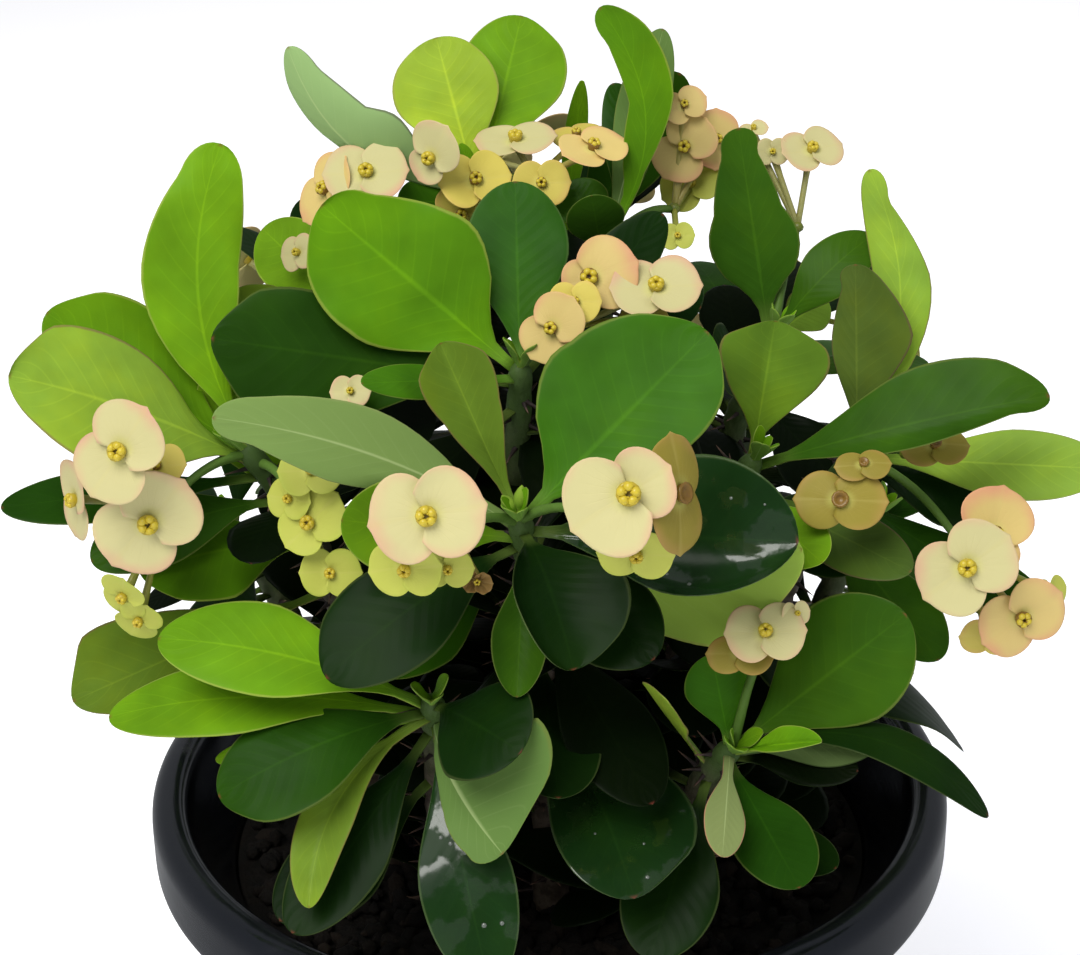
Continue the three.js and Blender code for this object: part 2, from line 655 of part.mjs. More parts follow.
class Stem {
  constructor({ foot, tip }) {
    const [x, y] = foot;
    const bend = SOIL_TOP + STEM_BEND_SHARE * (tip[2] - SOIL_TOP);
    const root = vec([x, y, SOIL_TOP - ROOT_DEPTH]);
    this.curve = new THREE.QuadraticBezierCurve3(root, vec([x, y, bend]), vec(tip));
    this.curve.arcLengthDivisions = 40;
    this.length = this.curve.getLength();
  }

  at(drop) {
    return this.curve.getPointAt(1 - drop / this.length);
  }

  radius(drop) {
    return STEM_TIP_RADIUS + STEM_SWELL * Math.min(1, drop / this.length);
  }

  wood() {
    const shares = Array.from({ length: STEM_STEPS + 1 }, (_, i) => i / STEM_STEPS);
    const radii = shares.map((k) => this.radius(this.length * (1 - k)));
    const ways = shares.map((k) => this.curve.getTangent(k));
    return tube(shares.map((k) => this.curve.getPoint(k)), radii, STEM_SIDES, ways);
  }

  thorns() {
    const count = Math.floor((this.length - THORN_START - ROOT_DEPTH) / THORN_STEP);
    return Array.from({ length: count }, (_, i) => {
      const drop = THORN_START + THORN_STEP * i;
      const axis = this.at(drop);
      const along = this.at(drop - 2).sub(axis).normalize();
      const x = along.clone().cross(OFF_AXIS).normalize();
      const y = along.clone().cross(x);
      const angle = degToRad(GOLDEN_ANGLE * i);
      const out = x.multiplyScalar(Math.cos(angle)).addScaledVector(y, Math.sin(angle));
      const root = axis.clone().addScaledVector(out, this.radius(drop) - THORN_SINK);
      const point = axis.clone().addScaledVector(out, this.radius(drop) + THORN_REACH);
      return spike(root, point.addScaledVector(along, THORN_LEAN), THORN_RADIUS);
    });
  }
}

// A three-sided spike.
function spike(root, point, radius) {
  const along = point.clone().sub(root).normalize();
  const x = along.clone().cross(OFF_AXIS).normalize();
  const y = along.clone().cross(x);
  const corners = [0, 1, 2].map((k) => around(root, x, y, radius, (2 * Math.PI * k) / 3));
  return solid([...corners, point], [[0, 1, 3], [1, 2, 3], [2, 0, 3], [0, 2, 1]]);
}

function headingVector(heading, rise) {
  const h = degToRad(heading);
  const r = degToRad(rise);
  return new THREE.Vector3(Math.cos(r) * Math.cos(h), Math.cos(r) * Math.sin(h), Math.sin(r));
}

// A leaf starts inside the stem, a little way out from its axis towards the leaf's own tip.
function leafRoot(stem, drop, towards) {
  return stem.at(drop).addScaledVector(towards.clone().normalize(), LEAF_ROOT_SHARE * stem.radius(drop));
}

function placedLeaf(stem, [drop, tip, width, faces, form]) {
  const root = leafRoot(stem, drop, vec(tip).sub(stem.at(drop)));
  const stations = width < SMALL_LEAF ? SHORT_STATIONS : LEAF_STATIONS;
  return new Blade(root, vec(tip), width, vec(faces), form).solid(stations);
}

function fanLeaf(stem, [heading, rise, long], i) {
  const drop = FAN_FIRST_DROP + FAN_DROP_STEP * i;
  const tip = stem.at(drop).addScaledVector(headingVector(heading, rise), long);
  const faces = UP.clone().addScaledVector(headingVector(heading, 0), FAN_LEAN);
  const root = leafRoot(stem, drop, headingVector(heading, rise));
  const width = FAN_WIDTH_SHARE * root.distanceTo(tip);
  return new Blade(root, tip, width, faces, { arch: FAN_ARCH }).solid(SHORT_STATIONS);
}

// ---- flower heads ----

// A head's stalk grows from the stem, bows up, and ends just short of the knuckle at the fork.
function stalkLine(stem, { fork, drop }) {
  const base = stem.at(drop);
  const end = vec(fork);
  const bow = STALK_BOW * base.distanceTo(end);
  const middle = base.clone().add(end).multiplyScalar(0.5).addScaledVector(UP, bow);
  const way = end.clone().sub(middle).normalize();
  return { base, middle, end, way };
}

function stalk(stem, head) {
  const { base, middle, end, way } = stalkLine(stem, head);
  return tube([base, middle, end.addScaledVector(way, -KNUCKLE_REACH - GAP)], STALK_RADII, 3);
}

function knuckle(stem, head) {
  const { end, way } = stalkLine(stem, head);
  const ends = [-KNUCKLE_REACH, KNUCKLE_REACH].map((d) => end.clone().addScaledVector(way, d));
  return tube(ends, [KNUCKLE_RADIUS, KNUCKLE_RADIUS], 3);
}

// One bloom as one closed skin: the stalk from the fork, which opens under the bracts, the two bracts
// as a plate with two lobes, one a little above the other, and the cup that stands on their middle.
function bloom([centre, faces, turn, span, lesser = 1], fork) {
  const middle = vec(centre);
  const normal = vec(faces).normalize();
  const x = UP.clone().cross(normal).normalize();
  const y = normal.clone().cross(x);
  const angle = degToRad(turn);
  const u = x.multiplyScalar(Math.cos(angle)).addScaledVector(y, Math.sin(angle));
  const w = normal.clone().cross(u);
  const large = span >= LARGE_BLOOM;
  const spot = (a, b, height) => middle.clone()
    .addScaledVector(u, a).addScaledVector(w, b).addScaledVector(normal, height);

  const lobe = (large ? LARGE_LOBE : SMALL_LOBE).map(degToRad);
  const waist = (span * WAIST_SHARE * (1 + lesser)) / 2;
  const rimAt = (height) => [span, -span * lesser].flatMap((size) => [
    ...lobe.map((a) => spot(
      size * (BRACT_OFFSET_SHARE + BRACT_LENGTH_SHARE * Math.cos(a)),
      size * BRACT_WIDTH_SHARE * Math.sin(a),
      height + Math.sign(size) * BRACT_STAGGER)),
    spot(0, Math.sign(size) * waist, height),
  ]);
  const roundAt = (radius, height) => [0, 1, 2].map((k) => {
    const a = ((2 * k - 1) * Math.PI) / 3;
    return spot(radius * Math.cos(a), radius * Math.sin(a), height);
  });
  const dish = -BRACT_DISH_SHARE * span;
  const half = BRACT_THICKNESS / 2;
  const neck = spot(0, 0, -CUP_DEPTH);
  const way = neck.clone().sub(fork);
  const start = fork.clone().addScaledVector(way.clone().normalize(), BRANCH_START);
  const stalkStart = roundAt(BRANCH_RADIUS, 0).map((p) => p.sub(middle).add(start));
  const cup = CUP_SHARE * span;
  const rings = [
    stalkStart, roundAt(NECK_OF_BLOOM, -CUP_DEPTH), roundAt(SEAT_OF_BRACTS, dish - half),
    rimAt(-half), rimAt(half), roundAt(cup, dish + half), roundAt(CUP_TAPER * cup, CUP_HEIGHT),
  ];
  return solid(rings.flat(), stitched(rings.map((ring) => ring.length)));
}

// Faces between rings of points that follow each other, and a cap on the first and the last.
function stitched(counts) {
  const faces = [];
  let from = 0;
  for (let r = 0; r < counts.length - 1; r++) {
    const [m, n] = [counts[r], counts[r + 1]];
    const to = from + m;
    let [i, j] = [0, 0];
    while (i < m || j < n) {
      if (j * m < i * n || i === m) {
        faces.push([from + (i % m), to + ((j + 1) % n), to + (j % n)]);
        j += 1;
      } else {
        faces.push([from + (i % m), from + ((i + 1) % m), to + (j % n)]);
        i += 1;
      }
    }
    from = to;
  }
  const ends = [[0, counts[0]], [from, counts.at(-1)]];
  ends.forEach(([first, count], end) => {
    for (let k = 1; k < count - 1; k++) {
      faces.push(end ? [first, first + k, first + k + 1] : [first, first + k + 1, first + k]);
    }
  });
  return faces;
}

// ---- pot and soil ----

const lathe = (profile) => fromGeometry(
  new THREE.LatheGeometry(profile.map(([r, z]) => new THREE.Vector2(r, z)), POT_SIDES).rotateX(Math.PI / 2));

function hole(x, y, radius, bottom, top) {
  const geometry = new THREE.CylinderGeometry(radius, radius, top - bottom, 6).rotateX(Math.PI / 2);
  return fromGeometry(geometry.translate(x, y, (top + bottom) / 2));
}

function pot() {
  const mouth = POT_HEIGHT - LIP_ROUND;
  const skirt = POT_HEIGHT - RIM_DEPTH;
  const shell = lathe([
    [0, 0], [FOOT_RADIUS, 0], [FOOT_RADIUS + FOOT_ROUND, 2], [NECK_RADIUS, NECK_HEIGHT],
    [MOUTH_RADIUS - 1, mouth - 2], [MOUTH_RADIUS + 2, mouth + RIM_HOLLOW],
    [RIM_RADIUS - WALL, mouth + RIM_HOLLOW], [RIM_RADIUS - WALL, skirt],
    [RIM_RADIUS, skirt], [RIM_RADIUS, mouth + 2], [RIM_RADIUS - 2, POT_HEIGHT - 0.8],
    [RIM_RADIUS - LIP_ROUND, POT_HEIGHT], [MOUTH_RADIUS + 2, POT_HEIGHT - 1], [MOUTH_RADIUS, mouth],
    [NECK_RADIUS - WALL, NECK_HEIGHT + 1], [FLOOR_RADIUS, WALL], [0, WALL],
  ]);
  const holes = Array.from({ length: DRAIN_HOLES }, (_, i) => {
    const angle = (2 * Math.PI * (i + 0.5)) / DRAIN_HOLES;
    const [x, y] = [DRAIN_CIRCLE * Math.cos(angle), DRAIN_CIRCLE * Math.sin(angle)];
    return hole(x, y, DRAIN_RADIUS, -WALL, 2 * WALL);
  });
  return shell.subtract(joined(holes));
}

function soil(stems) {
  const edge = SOIL_TOP - SOIL_EDGE_DROP;
  const widening = (NECK_RADIUS - WALL - FLOOR_RADIUS) / (NECK_HEIGHT + 1 - WALL);
  const body = lathe([
    [0, WALL + GAP], [FLOOR_RADIUS - 2 * GAP, WALL + GAP],
    [FLOOR_RADIUS + widening * (edge - WALL) - 2 * GAP, edge],
    [SOIL_FLAT_SHARE * NECK_RADIUS, SOIL_TOP - 0.5], [0, SOIL_TOP],
  ]);
  const holes = stems.map((stem) => {
    const foot = stem.curve.getPoint(0);
    return hole(foot.x, foot.y, stem.radius(stem.length) + HOLE_ROOM, foot.z - GAP, SOIL_TOP + ROOT_DEPTH);
  });
  return body.subtract(joined(holes));
}

// ---- the whole plant ----

const POT_PLASTIC = new THREE.MeshStandardMaterial({ color: 0x15161a, roughness: 0.3, metalness: 0 });
const EARTH = new THREE.MeshStandardMaterial({ color: 0x2a1f17, roughness: 0.95, metalness: 0 });
const FOLIAGE = new THREE.MeshStandardMaterial({ color: 0x3f7a22, roughness: 0.4, metalness: 0 });
const BRACTS = new THREE.MeshStandardMaterial({ color: 0xeee0a8, roughness: 0.6, metalness: 0 });

const plant = new THREE.Group();
const stems = Object.fromEntries(Object.entries(STEMS).map(([name, spec]) => [name, new Stem(spec)]));

plant.add(meshOf('pot', pot(), POT_PLASTIC));
plant.add(meshOf('soil', soil(Object.values(stems)), EARTH));

for (const [name, spec] of Object.entries(STEMS)) {
  const stem = stems[name];
  const leaves = (spec.leaves ?? []).map((leaf) => placedLeaf(stem, leaf));
  const fan = (spec.fan ?? []).map((leaf, i) => fanLeaf(stem, leaf, i));
  const stalks = Object.values(HEADS).filter((head) => head.stem === name).map((head) => stalk(stem, head));
  const body = whole(joined([stem.wood(), ...stem.thorns(), ...stalks, ...leaves, ...fan]));
  plant.add(meshOf(`leafy_stem_${name}`, body, FOLIAGE));
}

for (const [name, head] of Object.entries(HEADS)) {
  const fork = vec(head.fork);
  const blooms = head.blooms.map((row) => bloom(row, fork));
  const body = whole(joined([knuckle(stems[head.stem], head), ...blooms]));
  plant.add(meshOf(`flowers_${name}`, body, BRACTS));
}

export default plant;
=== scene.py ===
"""A flowering crown of thorns plant (Euphorbia milii, large-leaf hybrid) in a black nursery pot.

The pot, the soil, each stem and each flower head take the place of one solid and stand where it stands.
Sizes are millimetres, as in the part's source, and turn into metres where a mesh is made. Only the
lamps and the floor are placed in metres.
"""

import math

import bpy
import numpy as np
from mathutils import Matrix, Vector
from mathutils.kdtree import KDTree


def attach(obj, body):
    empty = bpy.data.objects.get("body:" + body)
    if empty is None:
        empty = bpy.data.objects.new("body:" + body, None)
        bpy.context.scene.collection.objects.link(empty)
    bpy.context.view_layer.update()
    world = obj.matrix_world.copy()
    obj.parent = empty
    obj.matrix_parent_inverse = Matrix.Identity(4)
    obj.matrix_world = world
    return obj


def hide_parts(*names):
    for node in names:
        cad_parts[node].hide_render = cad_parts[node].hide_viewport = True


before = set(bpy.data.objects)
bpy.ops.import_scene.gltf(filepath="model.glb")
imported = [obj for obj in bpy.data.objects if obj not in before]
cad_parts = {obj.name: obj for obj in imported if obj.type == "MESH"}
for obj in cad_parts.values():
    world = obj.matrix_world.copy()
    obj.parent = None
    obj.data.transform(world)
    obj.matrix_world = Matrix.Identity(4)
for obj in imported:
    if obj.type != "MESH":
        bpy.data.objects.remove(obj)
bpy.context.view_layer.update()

MM = 0.001
UP = np.array([0.0, 0.0, 1.0])
OFF_AXIS = np.array([0.3, 1.0, 0.2])
random = np.random.default_rng(7)

# ---- camera and light ----

CAMERA_PLACE = (-1.5, -599.0, 573.0)
CAMERA_PITCH = 24.84
CAMERA_ROLL = 0.8
FOCAL_SHARE = 2300 / 1080  # focal length as a share of the frame's width
SENSOR = 36.0
SKY = (0.95, 0.97, 1.0)
SKY_STRENGTH = 0.36
FLOOR_GLOW = 0.45
FLOOR_REACH = 12.0
LAMP_SIZE = 1.2
LAMP_TARGET = (0, 0, 0.3)
LAMPS = {  # place, power in watts, colour
    "key": ((-0.5, -0.8, 1.6), 25, (1.0, 0.985, 0.95)),
    "fill": ((1.3, -1.1, 1.1), 5, (0.95, 0.97, 1.0)),
    "back": ((0.3, 1.5, 1.3), 7, (1.0, 1.0, 1.0)),
}

# ---- the pot and the soil, as in the part's source ----

RIM_RADIUS = 120
POT_HEIGHT = 200
FOOT_RADIUS = 80
NECK_RADIUS = 99
NECK_HEIGHT = 174
MOUTH_RADIUS = 108
WALL = 2.4
RIM_DEPTH = 20
RIM_HOLLOW = 2.6
LIP_ROUND = 6
FOOT_ROUND = 1.5
FLOOR_RADIUS = FOOT_RADIUS + FOOT_ROUND - WALL
POT_SIDES = 256
CORNER_CUT = 1.2
SOIL_TOP = 176
SOIL_EDGE_DROP = 3
SOIL_DIP = 1.6  # how far the middle of the soil's surface lies under SOIL_TOP
SOIL_SIDES = 200
SOIL_RINGS = 70
SOIL_LUMPS = ((0.9, 9, 0.4), (0.7, 5.2, 1.9), (0.5, 2.9, 4.1))  # height, width, shift
CHIPS = 1500
GAP = 0.3
ROOT_DEPTH = 10

# ---- stems and leaves ----

STEM_TIP_RADIUS = 3.2
STEM_SWELL = 2.4
STEM_BEND_SHARE = 0.62
WOOD_STEP = 2.6
GOLDEN_ANGLE = 137.5
THORN_STEP = 3.4
THORN_START = 9
THORN_LENGTH = 7.5
THORN_RADII = (1.35, 0.75, 0.42, 0.06)
THORN_SPREAD = 14
THORN_SINK = 0.7
BUD_PROFILE = (  # share of its length, radius
    (0, 0.8), (0.25, 0.7), (0.4, 1.5), (0.55, 1.9), (0.7, 1.7), (0.85, 1.1), (0.95, 0.5), (1.0, 0.1),
)
LEAF_BELLY = 0.64
LEAF_TAPER = 1.15
LEAF_BLUNTNESS = 0.5
LEAF_ROOT = 1.5
LEAF_APEX = 0.7
LEAF_ROOT_SHARE = 0.6
LEAF_HALF_THICKNESS = 0.36
INSET = 0.985  # keeps the round outline inside the solid's
OUTLINE_AT = (0, 0.3, 0.6, 0.88, 1)
PLAIN_SIDE = (1, 1, 1)
FORM_EASE = 0.3
TWIST_AT = 0.35
WAVE_SHIFT = 1.9
FLUTTER = 0.022
FAN_FLUTTER = 0.02
SLOW_RUFFLE = 8
FAST_RUFFLE = 17
RUFFLE_SHIFT = 2.1
ANY_PHASE = (0, 6.28)
RIB_HALF_WIDTH = 1.2
RIB_HEIGHT = 0.4
CHANNEL_DEPTH = 0.3
TIP_SHARE = 0.3
FAN_WIDTH_SHARE = 0.4
FAN_LEAN = 0.35
FAN_ARCH = 0.08
FAN_FIRST_DROP = 3
FAN_DROP_STEP = 4
BLISTER = 0.008
BLISTERS = 44
BLISTER_SLANT = 9
WETTEST = 5  # drops on the wettest leaf
DROP_SINK = 0.08
INNER_FIRST_DROP = 26
INNER_DROP_STEP = 6.5
INNER_LAST_HEIGHT = 14
INNER_SPREAD = 230
INNER_TURN = 47
INNER_HEIGHT = 8
INNER_WIDTH_SHARE = 0.52
INNER_CLEARANCE = 4.5
INNER_PLACES = 10

# ---- flower heads ----

BRACT_OFFSET_SHARE = 0.2
BRACT_LENGTH_SHARE = 0.32
BRACT_WIDTH_SHARE = 0.42
BRACT_DISH_SHARE = 0.04
BRACT_HALF_THICKNESS = 0.16
BRACT_STAGGER = 0.6
WILT = 0.09
SHRUNK = {"ochre": (1, 0.8), "dry": (0.8, 0.7)}  # length and width that an old bract keeps
BRACT_REACH = 148  # degrees round each bract's own middle, to either side of its tip
CUP_DEPTH = 2
CUP_SHARE = 0.09
CUP_HEIGHT = 1.3
OLD_CUP_HEIGHT = 0.9
CUP_NECK_RADIUS = 1.3
STALK_RADII = (1.4, 1.2, 1.1)
STALK_BOW = 0.12
KNUCKLE_REACH = 1.4
KNUCKLE_RADIUS = 1.8
BRANCH_RADIUS = 0.9

# ---- colours, as display values from 0 to 255 ----

# A leaf's tone: its upper face, its margin, and how wet it is from 0 to 1. The darkest tones are the
# leaves' own dark green with painted shade in it, for leaves that lie low in the plant or inside it.
TONES = {
    # near-black: painted shade over the dark green of leaves deep inside the plant
    "shade_dark": ((8, 18, 5), (26, 36, 18), 0.0),
    # very dark green, partly painted shade
    "shaded_deep": ((16, 38, 9), (64, 76, 40), 0.1),
    "wet": ((20, 46, 16), (70, 88, 50), 1.0),
    "dark": ((32, 66, 11), (88, 102, 46), 0.1),
    "moss": ((48, 84, 18), (104, 116, 54), 0.1),
    "blue": ((46, 90, 26), (84, 110, 60), 0.0),
    "mid": ((58, 106, 20), (120, 136, 60), 0.0),
    "fresh": ((80, 124, 18), (140, 150, 66), 0.0),
    "bright": ((98, 144, 24), (150, 162, 74), 0.0),
    "lime": ((138, 176, 64), (150, 160, 90), 0.0),
    "lemon": ((154, 184, 56), (160, 160, 84), 0.0),
    "olive": ((124, 156, 52), (120, 84, 70), 0.0),
    "khaki": ((108, 138, 44), (124, 104, 60), 0.0),
    "sage": ((88, 116, 34), (112, 92, 58), 0.0),
    "blush": ((126, 132, 84), (198, 124, 110), 0.0),
    "pale": ((112, 140, 66), (132, 146, 88), 0.0),
    "dusk": ((70, 92, 36), (92, 70, 56), 0.1),
    "silver": ((150, 184, 124), (72, 52, 66), 0.0),
}
UNDERSIDE = (132, 160, 92)
RIB = (150, 180, 84)
PALE_RIB = (196, 212, 150)
TIP_RED = (120, 56, 46)
BLOOM_TONES = {
    "cream": ((197, 190, 136), (208, 160, 132)),
    "peach": ((208, 184, 114), (210, 150, 114)),
    "butter": ((204, 188, 86), (210, 174, 98)),
    "young": ((182, 187, 80), (176, 186, 74)),
    "ochre": ((142, 129, 48), (168, 134, 72)),
    "dry": ((140, 112, 62), (158, 116, 64)),
}
BLOOM_HEART = (208, 210, 110)
CUP_TONE = (186, 166, 48)
OLD_CUP_TONE = (112, 78, 34)
GLAND_TONE = (210, 190, 52)
STALK_TONE = (84, 116, 44)
CUP_SHADE = (160, 132, 38)
BUD_TONE = (122, 152, 52)
BARK = (58, 48, 40)
GREEN_BARK = (56, 82, 38)
THORN_TONE = (44, 34, 32)
THORN_POINT = (112, 86, 72)
BARK_RIDGE = (92, 82, 70)
BARK_CRACK = (30, 24, 20)
GREEN_BARK_RIDGE = (84, 108, 50)
BRACT_RAY = (202, 190, 116)
BRACT_BACK = (222, 206, 120)
PLASTIC = (12, 14, 19)
DUST = (70, 68, 70)
SOIL_DARK = (9, 7, 5)
SOIL_LIGHT = (28, 21, 16)
CHIP = (48, 38, 29)
PAPER = (250, 250, 252)
WARM_PAPER = (252, 251, 253)
# paper for the painted shadow far off to the right
SHADED_PAPER = (238, 238, 248)

# ---- how the materials change a colour or break it up ----

PLASTIC_SHINE = (0.8, 0.87, 1.0, 1.0)
SUNNY_FILTER = (1.3, 1.12, 0.6)
VEIN_FILTER = (1.9, 1.7, 1.5)
SIDE_VEINS = 13.0
VEIN_SLANT = 2.6
BRACT_RAYS = 8.0
